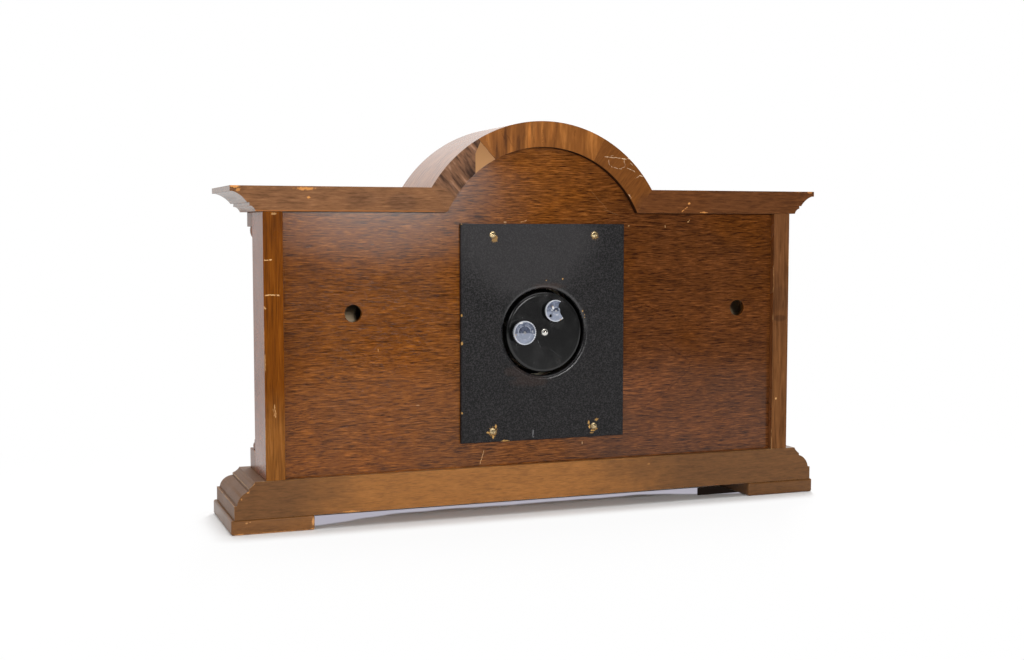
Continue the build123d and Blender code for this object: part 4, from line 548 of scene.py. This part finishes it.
haunch_scratches = on_face(
    CASE_BACK, (-70.9, 286.8, 179, 8.2, 0.9, 1), (-59, 287.4, 5, 15.7, 0.7, 0.6),
    (-57.1, 288.3, 161, 7.8, 0.5, 0.5), (-55.9, 283.4, 83, 5, 0.5, 0.6), (-57.4, 280.2, 43, 4.4, 0.5, 0.6),
    (-62.4, 278.6, 6, 8.5, 0.5, 0.55), (-68.2, 279.4, 150, 5.5, 0.5, 0.55), (-69.6, 282.8, 76, 5.5, 0.5, 0.5),
    (-75.7, 277.5, 24, 9, 0.7, 0.75), (-85, 273.1, 12, 4, 0.8, 0.8), (-82, 272.1, 155, 7, 0.5, 0.5),
    (-74.7, 256.1, 47, 4.4, 0.8, 0.8), (-76.2, 282.1, 41, 3.4, 0.6, 0.6), (-42.6, 302.8, 0, 1.6, 1.5, 0.9),
)
left_foot = (CORNICE_TONES["left"] | CORNICE_STAIN, on_face(CASE_BACK, (-92, 248, 16, 8, 14, 0.7)))
left_sawn = wood("haunch_sawn_left", (118, 70, 29), (109, 64, 26), (97, 56, 22), turn=(0, -50, 0), along=120,
                 across=900, pores=0.2, figure=0.3, joined=left_foot, bare=(226, 196, 160),
                 scratches=haunch_scratches, **ARCH_STAIN)
arch_gloss = [(90, 0, 285, 100, 200, 80, 1.0)]
ARCH_AXIS, ARCH_RADIUS, INWARD = 204.6, 110.5, -0.8
ARCH_VENEER = CORNICE_STAIN | dict(pale=(178, 119, 71), middle=(154, 97, 53), dark=(115, 70, 36))
ARCH_VENEER |= dict(roughness=0.56, bend=(ARCH_AXIS, ARCH_RADIUS))
arch_polish = wood("arch_polish", gloss=arch_gloss, **ARCH_VENEER)
# Painted shadow: the arch's soffit is darkened almost to black.
soffit_shadow = on_face(CASE_BACK, (0, 260, 400, 9, 400, 1))
arch_soffit = wood("arch_soffit", polish=0.1, stains_and_shade=soffit_shadow, stain_and_shade_tint=(0.1, 0.08, 0.07, 1), **ARCH_VENEER)
arch_edge = wood("arch_edge", (150, 96, 48), (130, 80, 36), (98, 58, 26), wear=0.2, **ARCH_STAIN)
for node, finish in (("arch_crown", crown_sawn), ("arch_left", left_sawn), ("arch_right", right_sawn)):
    block = eased(node, 0.15, arch_polish, arch_edge, faced=(finish, 1))
    block.data.materials.append(arch_soffit)
    for face in block.data.polygons:
        spoke = Vector((face.center.x, 0, face.center.z - ARCH_AXIS * MM)).normalized()
        if face.normal.dot(spoke) < INWARD:
            face.material_index = 3

# Columns: turned shafts of the case's wood between square base and cap blocks, glued to the front corners.
# The shafts are turned between centres, so their grain runs upright under the same satin varnish.
COLUMN_STAIN = dict(pale=(140, 80, 38), middle=(112, 60, 26), dark=(80, 42, 18))
COLUMN_STAIN |= dict(turn=(0, 90, 0), along=50, across=900)
column_finish = wood("column_stain", roughness=0.32, **COLUMN_STAIN)
column_edge = wood("column_edge", wear=0.4, roughness=0.36, **COLUMN_STAIN)
for side in ("left", "right"):
    dress(column_finish, "column_shaft_" + side)
    for block in ("base", "capital"):
        eased(f"column_{block}_{side}", 0.5, column_finish, column_edge)

# Movement frame: two round brass plates held apart by turned pillars and screws.
# The plates are stamped and grained in straight lines, and the front one is blackened where it shows.


def fine_lines():
    """Fine tool lines, straight along X or in rings round Y, and a cloudy tarnish."""
    inputs = dict(Vector="Vector", Centre="Vector", Rings="Float", Pitch="Float")
    tree, given, out = new_group("fine_lines", inputs, dict(Lines="Float", Tarnish="Float"))
    near = moved(tree, "SUBTRACT", given["Vector"], given["Centre"])
    flat = moved(tree, "LENGTH", spread(tree, near, (1, 0, 1)))
    straight = axes(tree, near)
    across = tint(tree, given["Rings"], straight[2], flat)
    along = times(tree, straight[0], minus(tree, 1.0, given["Rings"]))
    place = joined_axes(tree, X=times(tree, along, 60.0), Y=times(tree, straight[1], given["Pitch"]),
                        Z=times(tree, across, given["Pitch"]))
    tree.links.new(cloud(tree, place, 1.0, 3, 0.7), out[0])
    tree.links.new(cloud(tree, given["Vector"], 90, 4, 0.6), out[1])
    return tree


FINE_LINES = fine_lines()


def metal(name, bright, tarnished, roughness, rings=0.0, pitch=4000.0, tarnish=0.5):
    """Worked metal with its tool lines and tarnish. Rings run round the middle of the movement."""
    finish, tree, shader, place = new_finish(name, Metallic=1.0)
    centre = (0, 0, MOVEMENT_HEIGHT * MM)
    lines, cloudy = use(tree, FINE_LINES, Vector=place, Centre=centre, Rings=rings, Pitch=pitch)
    share = times(tree, step(tree, cloudy, 0.42, 0.72), tarnish)
    dull = plus(tree, times(tree, share, 0.25), times(tree, lines, 0.14))
    feed(shader, Base_Color=tint(tree, share, stain(*bright), stain(*tarnished)),
         Roughness=plus(tree, dull, roughness - 0.07))
    relief(shader, lines, 0.03 * MM, 0.5)
    return finish


brass_finish = metal("grained_brass", (214, 174, 96), (150, 108, 52), 0.32)
steel_finish = metal("turned_steel", (178, 178, 182), (120, 116, 112), 0.28, pitch=6000)
blackened_finish = metal("blackened_plate", (34, 33, 33), (24, 22, 21), 0.55, tarnish=0.8)
dress(brass_finish, "movement_back_plate", "movement_pillars")
dress(blackened_finish, "movement_front_plate")
dress(steel_finish, "pillar_screws")

# Motor: a soft-iron stator cup with claw poles round a wound bobbin, and a terminal block for the leads.
# The cup is pressed sheet, the bobbin and block are brown moulded plastic, the coil is enamelled copper wire.
iron_finish = metal("stator_iron", (96, 96, 100), (72, 58, 48), 0.5, tarnish=0.8)
dress(iron_finish, "stator_cup")


def moulded(name, colour, shade, roughness):
    """Moulded plastic, enamel or ink with a faint mottle, soft handling marks and a fine skin."""
    finish, tree, shader, place = new_finish(name)
    mottle = cloud(tree, place, 120, 4, 0.6)
    skin = cloud(tree, place, 900, 2)
    dull = times(tree, plus(tree, skin, mottle), 0.09)
    feed(shader, Base_Color=tint(tree, step(tree, mottle, 0.35, 0.7), stain(*colour), stain(*shade)),
         Roughness=plus(tree, dull, roughness - 0.08))
    relief(shader, skin, 0.03 * MM, 0.4)
    return finish


bobbin_finish = moulded("bobbin_plastic", (96, 52, 28), (70, 36, 20), 0.35)
dress(bobbin_finish, "coil_bobbin", "terminal_block")
copper_finish, tree, shader, place = new_finish("wound_copper", Metallic=1.0)
turns = put(tree, "TexWave", {"bands_direction": "Y"}, Vector=place, Scale=1400.0, Distortion=0.4)
dull = times(tree, cloud(tree, place, 300, 2), 0.2)
feed(shader, Base_Color=tint(tree, turns.outputs[1], stain(120, 58, 30), stain(206, 116, 66)),
     Roughness=plus(tree, dull, 0.5))
relief(shader, turns.outputs[1], 0.08 * MM, 0.8)
dress(copper_finish, "coil_winding")
dress(brass_finish, "terminal_screws")

# Rotor and going train: a magnet rotor on its arbor, then three wheels on theirs down to the centre wheel.
# The wheels are cut from brass sheet and crossed out, and the arbors and leaves are polished steel.
dress(steel_finish, "rotor", "rotor_arbor", "first_arbor", "second_arbor", "third_arbor", "centre_arbor",
      "clutch_spring", "setting_arbor")
dress(brass_finish, "first_wheel", "second_wheel", "third_wheel", "centre_wheel")

# Motion work: the cannon pinion, minute wheel and hour wheel behind the dial, all of brass.
# They are turned and cut, so their faces carry rings left by the lathe.
turned_brass = metal("turned_brass", (216, 178, 100), (156, 112, 54), 0.26, rings=1.0)
dress(turned_brass, "cannon_pinion", "minute_wheel", "hour_wheel")

# Dust cover: a drawn steel can over the movement, sprayed with black lacquer.
# One plated dome nut on a centre stud holds it, and a hair scratch runs down beside the nut.
COVER_FACE = 39.5
cover_finish, tree, shader, place = new_finish("black_lacquer")
cover_scratches = on_face(COVER_FACE, (4.7, 137.6, 73, 7, 0.5, 0.4), (-10, 129, 35, 14, 0.3, 0.12))
rubbed = scratched(tree, place, cover_scratches)
peel = cloud(tree, place, 420, 3)
dusty = step(tree, cloud(tree, place, 70, 4, 0.65), 0.45, 0.75)
colour = tint(tree, dusty, stain(13, 13, 13), stain(22, 21, 21))
dull = plus(tree, times(tree, dusty, 0.1), times(tree, peel, 0.06))
feed(shader, Base_Color=tint(tree, rubbed, colour, stain(120, 120, 122)), Roughness=plus(tree, dull, 0.17))
relief(shader, peel, 0.04 * MM, 0.5)
NICKEL = dict(bright=(226, 224, 218), tarnished=(186, 178, 164), tarnish=0.35)
nickel_finish = metal("nickel_plate", roughness=0.14, rings=1.0, pitch=2600, **NICKEL)
dress(cover_finish, "dust_cover")
dress(steel_finish, "cover_stud")
dress(nickel_finish, "cover_nut")

# Rear plate: black hardboard with a leathery pressed skin, screwed over the hole in the back panel.
# The skin is torn to yellow fibre round the screws, nicked at the edges and scuffed brown at the hole's lip.


def off_axis(tree, place, x, z):
    """The distance from an axis that runs from back to front."""
    near = moved(tree, "SUBTRACT", place, (x * MM, 0, z * MM))
    return moved(tree, "LENGTH", spread(tree, near, (1, 0, 1)))


PLATE_FACE = 39.0
PLATE_SKIN = dict(Specular_IOR_Level=0.22, Coat_Roughness=0.24)
plate_finish, tree, shader, place = new_finish("black_hardboard", **PLATE_SKIN)
grains = put(tree, "TexVoronoi", {"feature": "F1"}, Vector=place, Scale=1150.0).outputs["Distance"]
leather = cloud(tree, place, 620, 4, 0.7)
skin = plus(tree, times(tree, leather, 0.7), times(tree, grains, 0.4))
skin = step(tree, skin, 0.42, 0.78)
colour = tint(tree, skin, stain(9, 9, 10), stain(48, 46, 47))
# Painted sheen: the top of the plate is painted paler.
painted_sheen = patched(tree, place, on_face(PLATE_FACE, (18, 226, 80, 20, 62, 0.45)), grit=14, ragged=0.6)
colour = tint(tree, painted_sheen, colour, stain(60, 58, 59))
scuffs = on_face(PLATE_FACE, (-2, 183, 16, 6, 4, 0.3), (12, 108, 22, 6, 6, 0.22), (24, 115, 12, 6, 6, 0.2))
colour = tint(tree, patched(tree, place, scuffs, grit=160, ragged=1.2), colour, stain(70, 50, 40))
smears = on_face(PLATE_FACE, (9.5, 64.5, 90, 7, 1.6, 0.6))
colour = tint(tree, scratched(tree, place, smears), colour, stain(128, 128, 130))
torn = on_face(
    PLATE_FACE, (42.6, 220.8, 2.8, 2, 2.2, 0.5), (41.2, 222.6, 1.8, 2, 1.8, 0.5),
    (-44, 224.2, 3.4, 2, 3.6, 0.6), (44, 67.8, 3.8, 2, 3.8, 1), (41.6, 72, 1, 2, 1.8, 0.9),
    (48, 67.4, 1.8, 2, 1, 0.9), (43.8, 64, 1.2, 2, 1.8, 0.9), (-39.4, 71.2, 0.9, 2, 2.2, 0.9),
    (-40.1, 67.6, 1.0, 2, 1.8, 1), (-43.2, 64.7, 2.8, 2, 0.8, 0.9), (-46.1, 65.9, 1.4, 2, 1, 0.8),
    (-46.5, 73.4, 1.8, 2, 1.3, 0.7), (-42.1, 62.8, 1.8, 2, 0.8, 0.5), (33.5, 233.8, 1.6, 2, 0.7, 0.7),
    (33.4, 59.6, 4.2, 2, 1.4, 1), (70, 233.4, 0.9, 2, 0.9, 0.7), (70, 139.3, 1.2, 2, 1.6, 0.9),
    (70, 161.6, 0.8, 2, 1.2, 0.9), (70, 84.1, 0.8, 2, 1.2, 0.9), (-1.8, 188.3, 0.7, 2, 0.6, 0.6),
    (-15.9, 189.2, 0.7, 2, 0.7, 0.9), (-33.5, 162.8, 0.7, 3, 0.8, 0.9), (-35.4, 159.9, 0.5, 3, 0.5, 0.7),
    (-35.4, 157.6, 0.5, 3, 0.5, 0.6),
)
lost = patched(tree, place, torn, grit=900, ragged=2.2)
fibre = tint(tree, cloud(tree, place, 1500, 3), stain(150, 104, 48), stain(214, 170, 96))
lip = step(tree, off_axis(tree, place, 0, MOVEMENT_HEIGHT), 37.2 * MM, 38.6 * MM, 1, 0)
dull = times(tree, step(tree, skin, 0, 1, 0.32, 0.16), step(tree, lip, 0, 1, 1, 0))
feed(shader, Base_Color=tint(tree, lost, colour, fibre), Roughness=plus(tree, dull, 0.24), Coat_Weight=lip)
relief(shader, minus(tree, skin, lost), 0.08 * MM, 0.6)
dress(plate_finish, "rear_plate")

# Rear screws: four small slotted brass wood screws that hold the plate to the back panel.
# Their domed heads are part bright from handling and part brown with tarnish.
screw_finish = metal("screw_brass", (228, 204, 158), (104, 78, 48), 0.24, tarnish=0.7, pitch=2000)
dress(screw_finish, "rear_plate_screws")

# Knobs: clear moulded plastic pushed on their arbors, one to set the hands and one to spin the rotor.
# The plastic has gone slightly milky and is scuffed, and the starting knob is broken at one side.


def clear_knob(name, painted_glints, painted_ambers, x, z, bowl, rim):
    """Clear plastic gone milky in clouds, with its light painted in: a painted highlight on the rim, a bowl
    painted dark above and pale below and the web pale below as reflections, a painted light ring round the
    bowl, and painted glints at the edges.
    """
    finish, tree, shader, place = new_finish(name, Transmission_Weight=0.3, IOR=1.49)
    out = off_axis(tree, place, x, z)
    up = minus(tree, axes(tree, place)[2], z * MM)
    milk = step(tree, cloud(tree, place, 420, 4, 0.6), 0.35, 0.68)
    web = tint(tree, milk, stain(84, 92, 112), stain(142, 150, 170))
    # Painted reflection: the web is pale below the middle, and the bowl dark above and pale below.
    web = tint(tree, step(tree, up, -1.8 * MM, 0.6 * MM, 0.6, 0.0), web, stain(178, 185, 202))
    hollow = tint(tree, milk, stain(46, 52, 70), stain(92, 100, 122))
    hollow = tint(tree, step(tree, up, -0.6 * MM, 0.2 * MM, 0.8, 0.0), hollow, stain(166, 174, 192))
    colour = tint(tree, step(tree, out, (bowl - 0.3) * MM, (bowl + 0.1) * MM), hollow, web)
    # Painted reflection: a light ring round the bowl; painted highlight: a bright rim.
    ring = reckon(tree, "ABSOLUTE", minus(tree, out, (bowl + 0.3) * MM))
    ring = step(tree, ring, 0.1 * MM, 0.5 * MM, 0.7, 0)
    colour = tint(tree, times(tree, ring, milk), colour, stain(206, 211, 222))
    colour = tint(tree, step(tree, out, (rim - 0.4) * MM, rim * MM), colour, stain(232, 235, 243))
    for spots, shine in ((painted_glints, (250, 250, 248)), (painted_ambers, (214, 160, 64))):
        colour = tint(tree, patched(tree, place, spots, grit=900, ragged=1.2), colour, stain(*shine))
    scuffed = step(tree, cloud(tree, spread(tree, place, (900, 900, 2400)), 1.0, 3, 0.7), 0.5, 0.7)
    feed(shader, Base_Color=colour, Roughness=plus(tree, times(tree, scuffed, 0.2), 0.06))
    relief(shader, plus(tree, scuffed, milk), 0.06 * MM, 0.5)
    return finish


SETTING_FACE, START_FACE = 49, 45
# Painted glints and amber glints on the knobs' edges.
setting_painted_glints = on_face(
    SETTING_FACE, (12.4, 145.6, 1, 3, 0.5, 1), (13.6, 148, 0.4, 3, 1.4, 0.8), (24, 155, 2.4, 3, 0.8, 0.9),
)
setting_painted_ambers = on_face(SETTING_FACE, (28.2, 145.7, 1, 3, 0.5, 0.9), (29.4, 143, 0.5, 3, 1.2, 0.6))
setting_at = dict(x=20.5, z=147.1, bowl=5.2, rim=8.9)
dress(clear_knob("setting_knob_clear", setting_painted_glints, setting_painted_ambers, **setting_at), "setting_knob")
start_painted_glints = on_face(
    START_FACE, (-5, 166.4, 0.9, 3, 1.5, 1), (-4, 164.6, 0.5, 3, 1, 0.8), (-13.4, 157.6, 0.6, 3, 1.2, 1),
    (-8.5, 160.6, 1.6, 3, 0.4, 0.8),
)
start_painted_ambers = on_face(
    START_FACE, (-3.6, 159.8, 0.6, 3, 0.4, 0.9), (-4.4, 167.6, 0.5, 3, 0.6, 0.7),
    (-11.6, 156.6, 0.8, 3, 0.6, 0.8),
)
start_at = dict(x=-7.5, z=163.9, bowl=2.6, rim=8.3)
dress(clear_knob("start_knob_clear", start_painted_glints, start_painted_ambers, **start_at), "start_knob")

# Dial: a thin steel disc with cream enamel, held to the front plate by three brass feet.
# The figures, minute marks and rings are printed on it in black, a hair above the enamel.
DIAL_Z = MOVEMENT_HEIGHT * MM
DIAL_FRONT = -6.3 * MM
PRINT = 0.05 * MM
NUMERAL_RADIUS = 59 * MM
NUMERAL_SIZE = 19.5 * MM
TRACK = (69.2, 73.2)
TRACK_LINE = 0.35
HOUR_MARK, MINUTE_MARK, MARK_CLEAR = 1.1, 0.45, 0.2
dial_finish, tree, shader, place = new_finish("cream_enamel", Specular_IOR_Level=0.5)
aged = step(tree, cloud(tree, place, 26, 5, 0.6), 0.35, 0.75)
colour = tint(tree, aged, stain(238, 228, 202), stain(226, 211, 176))
foxed = step(tree, cloud(tree, place, 330, 3, 0.7), 0.72, 0.8)
colour = tint(tree, times(tree, foxed, 0.4), colour, stain(176, 146, 98))
feed(shader, Base_Color=colour, Roughness=plus(tree, times(tree, aged, 0.12), 0.3))
relief(shader, cloud(tree, place, 240, 2), 0.03 * MM, 0.3)
dress(dial_finish, "dial")
dress(brass_finish, "dial_feet")
print_finish = moulded("dial_print", (26, 24, 24), (44, 40, 38), 0.5)


def on_dial(radius, turn, depth):
    """A spot on the dial at a radius, turned clockwise from twelve."""
    return (radius * sin(turn), DIAL_FRONT - depth, DIAL_Z + radius * cos(turn))


def printed(piece):
    """Give a printed mark its ink and let it ride with the dial."""
    piece.data.materials.clear()
    piece.data.materials.append(print_finish)
    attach(piece, "case")


for hour in range(1, 13):
    turn = tau * hour / 12
    bpy.ops.object.select_all(action="DESELECT")
    bpy.ops.object.text_add()
    figure = bpy.context.active_object
    figure.name = f"numeral_{hour}"
    figure.data.body = str(hour)
    figure.data.align_x = "CENTER"
    figure.data.align_y = "CENTER"
    figure.data.size = NUMERAL_SIZE
    figure.data.extrude = PRINT / 2
    bpy.ops.object.convert(target="MESH")
    figure.location = on_dial(NUMERAL_RADIUS, turn, PRINT / 2)
    figure.rotation_euler = (radians(90), 0, 0)
    bpy.ops.object.transform_apply()
    bpy.ops.object.mode_set(mode="EDIT")
    bpy.ops.mesh.select_all(action="SELECT")
    bpy.ops.mesh.remove_doubles(threshold=0.001 * MM)
    bpy.ops.mesh.normals_make_consistent()
    bpy.ops.object.mode_set(mode="OBJECT")
    printed(figure)


def printed_ring(name, radius):
    """A thin printed ring: a disc inset to the line, opened in the middle and raised by the ink."""
    bpy.ops.object.select_all(action="DESELECT")
    place = dict(location=(0, DIAL_FRONT, DIAL_Z), rotation=(radians(90), 0, 0))
    bpy.ops.mesh.primitive_circle_add(vertices=180, radius=radius * MM, fill_type="NGON", **place)
    ring = bpy.context.active_object
    ring.name = name
    bpy.ops.object.transform_apply()
    bpy.ops.object.mode_set(mode="EDIT")
    bpy.ops.mesh.select_all(action="SELECT")
    bpy.ops.mesh.inset(thickness=TRACK_LINE * MM)
    bpy.ops.mesh.delete(type="FACE")
    bpy.ops.mesh.select_all(action="SELECT")
    bpy.ops.mesh.extrude_region_move(TRANSFORM_OT_translate={"value": (0, -PRINT, 0)})
    bpy.ops.mesh.select_all(action="SELECT")
    bpy.ops.mesh.normals_make_consistent()
    bpy.ops.object.mode_set(mode="OBJECT")
    printed(ring)


printed_ring("track_inner_ring", TRACK[0])
printed_ring("track_outer_ring", TRACK[1])
bpy.ops.object.select_all(action="DESELECT")
bpy.ops.mesh.primitive_cube_add()
minute_marks = bpy.context.active_object
minute_marks.name = "minute_marks"
bpy.ops.object.mode_set(mode="EDIT")
bpy.ops.mesh.delete(type="VERT")
middle = (TRACK[0] + TRACK[1]) / 2 * MM
for minute in range(60):
    turn = tau * minute / 60
    wide = MINUTE_MARK if minute % 5 else HOUR_MARK
    size = (wide * MM, PRINT, (TRACK[1] - TRACK[0] - MARK_CLEAR) * MM)
    spot = on_dial(middle, turn, PRINT / 2)
    bpy.ops.mesh.primitive_cube_add(size=1, location=spot, rotation=(0, turn, 0), scale=size)
bpy.ops.object.mode_set(mode="OBJECT")
printed(minute_marks)

# Hands: two tapered hands stamped from steel and enamelled black, pushed on the hour pipe and the cannon.
# A small domed brass nut holds the minute hand.
hand_finish = moulded("hand_enamel", (18, 18, 20), (30, 30, 33), 0.26)
dress(hand_finish, "hour_hand", "minute_hand")
dress(turned_brass, "hand_nut")

# Bezel and glass: a spun brass ring pinned to the front, with a domed glass held in by an inner ring.
# The brass is lacquered and has gone a little brown in clouds, and the glass is plain and clear.


def blended(tree, share, under, over):
    return put(tree, "MixShader", i0=share, i1=under, i2=over).outputs[0]


bezel_finish = metal("spun_brass", (222, 184, 108), (166, 122, 62), 0.2, rings=1.0, pitch=2400, tarnish=0.45)
dress(bezel_finish, "bezel", "bezel_pins", "glass_ring")
glass_finish, tree, shader, place = new_finish("clear_glass", Transmission_Weight=1.0, IOR=1.5)
shader.inputs["Base Color"].default_value = (0.97, 0.99, 0.98, 1)
smudge = step(tree, cloud(tree, place, 22, 5, 0.65), 0.55, 0.8)
feed(shader, Roughness=plus(tree, times(tree, smudge, 0.06), 0.01))
path = put(tree, "LightPath").outputs
clear = put(tree, "BsdfTransparent", Color=(0.95, 0.97, 0.96, 1)).outputs[0]
lit = larger(tree, path["Is Shadow Ray"], path["Is Diffuse Ray"])
feed(tree.nodes["Material Output"], Surface=blended(tree, lit, shader.outputs[0], clear))
dress(glass_finish, "glass")

# Studio: a white floor, five soft boxes and white light all round, with the camera where the photo has it.
# The floor near the clock keeps its shadow, and further out it goes to the white of the backdrop. Under the
# plinth it carries a painted pale spill of light and a painted dark corner of shadow, as the photo shows.
STANDS_ON = (0.25, 0.045, 0)
SPILL_SOFT, SPILL_FRONT = 0.003, -0.01
CORNER_SLANT, CORNER_SIDE, CORNER_BACK = 0.54, -0.1613, 0.0215
bpy.ops.object.select_all(action="DESELECT")
bpy.ops.mesh.primitive_plane_add(size=14)
floor = bpy.context.active_object
floor.name = "studio_floor"
floor_finish, tree, shader, place = new_finish("white_sweep", Roughness=0.5, Specular_IOR_Level=0.2)
feed(shader, Base_Color=tint(tree, cloud(tree, place, 3, 2), (0.9, 0.9, 0.9, 1), (0.92, 0.92, 0.92, 1)))
beyond = moved(tree, "SUBTRACT", moved(tree, "ABSOLUTE", place), STANDS_ON)
away = moved(tree, "LENGTH", moved(tree, "MAXIMUM", beyond))
covered = reckon(tree, "LESS_THAN", away, 0.1 * MM)
path = put(tree, "LightPath").outputs
mirrored = larger(tree, path["Is Glossy Ray"], path["Is Transmission Ray"])
seen = larger(tree, path["Is Camera Ray"], mirrored)
share = plus(tree, step(tree, away, 0.0, 0.025, 0, 0.9), step(tree, away, 0.025, 0.4, 0, 0.1))
sideways, forward = axes(tree, place)[:2]
level = plus(tree, step(tree, forward, 0.7, 1.3, 0.0, 0.94), step(tree, forward, -0.8, -0.2, 0.25, 0.0))
level = minus(tree, 1.0, times(tree, level, path["Is Glossy Ray"]))
white = put(tree, "Emission", Color=(1, 1, 1, 1), Strength=level).outputs[0]
swept = blended(tree, times(tree, share, seen), shader.outputs[0], white)
reach = step(tree, reckon(tree, "ABSOLUTE", sideways), 0.1, 0.2, 0.007, 0.032)
edge = plus(tree, forward, times(tree, cloud(tree, place, 24, 1), 0.01))
spill = step(tree, edge, minus(tree, reach, SPILL_SOFT), plus(tree, reach, SPILL_SOFT), 1, 0)
# Painted shadow: a dark corner on the floor under the -X foot, seen only by the camera.
slant = minus(tree, sideways, times(tree, forward, CORNER_SLANT))
corner_shadow = reckon(tree, "LESS_THAN", slant, CORNER_SIDE)
corner_shadow = times(tree, corner_shadow, reckon(tree, "LESS_THAN", forward, CORNER_BACK))
spill = times(tree, larger(tree, spill, corner_shadow), covered)
spill = times(tree, spill, reckon(tree, "GREATER_THAN", forward, SPILL_FRONT))
spill_and_shadow_colour = tint(tree, corner_shadow, stain(176, 173, 184), stain(26, 20, 17))
pale = put(tree, "Emission", Color=spill_and_shadow_colour, Strength=1.0).outputs[0]
under = blended(tree, times(tree, spill, path["Is Camera Ray"]), swept, pale)
feed(tree.nodes["Material Output"], Surface=under)
floor.data.materials.append(floor_finish)

world = bpy.context.scene.world or bpy.data.worlds.new("studio_white")
bpy.context.scene.world = world
world.use_nodes = True
tree = world.node_tree
tree.nodes.clear()
path = put(tree, "LightPath").outputs
aim = axes(tree, put(tree, "TexCoord").outputs["Generated"])
mirrored = larger(tree, path["Is Glossy Ray"], path["Is Transmission Ray"])
room = step(tree, aim[1], -0.1, 0.45, 1.0, 0.05)
low = step(tree, aim[0], 0.05, 0.22, 0.5, 1.0)
high = step(tree, aim[2], 0.12, 0.32)
low = plus(tree, low, times(tree, high, minus(tree, 1.0, low)))
room = times(tree, room, low)
strength = tint(tree, mirrored, (0.36, 0.36, 0.36, 1), room)
strength = tint(tree, path["Is Camera Ray"], strength, (1, 1, 1, 1))
sky = put(tree, "Background", Color=strength, Strength=1.0).outputs[0]
put(tree, "OutputWorld", Surface=sky)


def soft_box(name, place, aim, width, height, watts):
    """A studio soft box that faces its aim."""
    lamp = bpy.data.lights.new(name, "AREA")
    lamp.shape = "RECTANGLE"
    lamp.size, lamp.size_y = width, height
    lamp.energy = watts
    stand = bpy.data.objects.new(name, lamp)
    stand.location = place
    stand.rotation_euler = (Vector(aim) - Vector(place)).to_track_quat("-Z", "Y").to_euler()
    bpy.context.collection.objects.link(stand)
    return stand


soft_box("key_box", (0.35, 1.95, 0.71), (0, 0, 0.15), 0.3, 0.3, 13.5).visible_glossy = False
soft_box("sheen_box", (-0.33, 1.8, 0.49), (-0.33, 0, 0.49), 0.32, 0.4, 6.4)
soft_box("top_box", (0, -0.1, 1.7), (0, 0, 0), 1.6, 1.6, 20)
soft_box("left_box", (1.6, 0.7, 1.2), (0, 0, 0.15), 0.6, 0.6, 5)
soft_box("front_box", (-0.9, -1.7, 1.3), (0, 0, 0.15), 0.8, 0.8, 22)

camera = bpy.data.objects.new("photo_camera", bpy.data.cameras.new("photo_camera"))
bpy.context.collection.objects.link(camera)
camera.data.sensor_width = 36
camera.data.sensor_fit = "HORIZONTAL"
camera.data.lens = 48.09
camera.location = (0.41023, 1.05927, 0.22839)
camera.rotation_euler = Vector((-0.35009, -0.93389, -0.07271)).to_track_quat("-Z", "Y").to_euler()
bpy.context.scene.camera = camera
bpy.context.scene.view_settings.view_transform = "Standard"
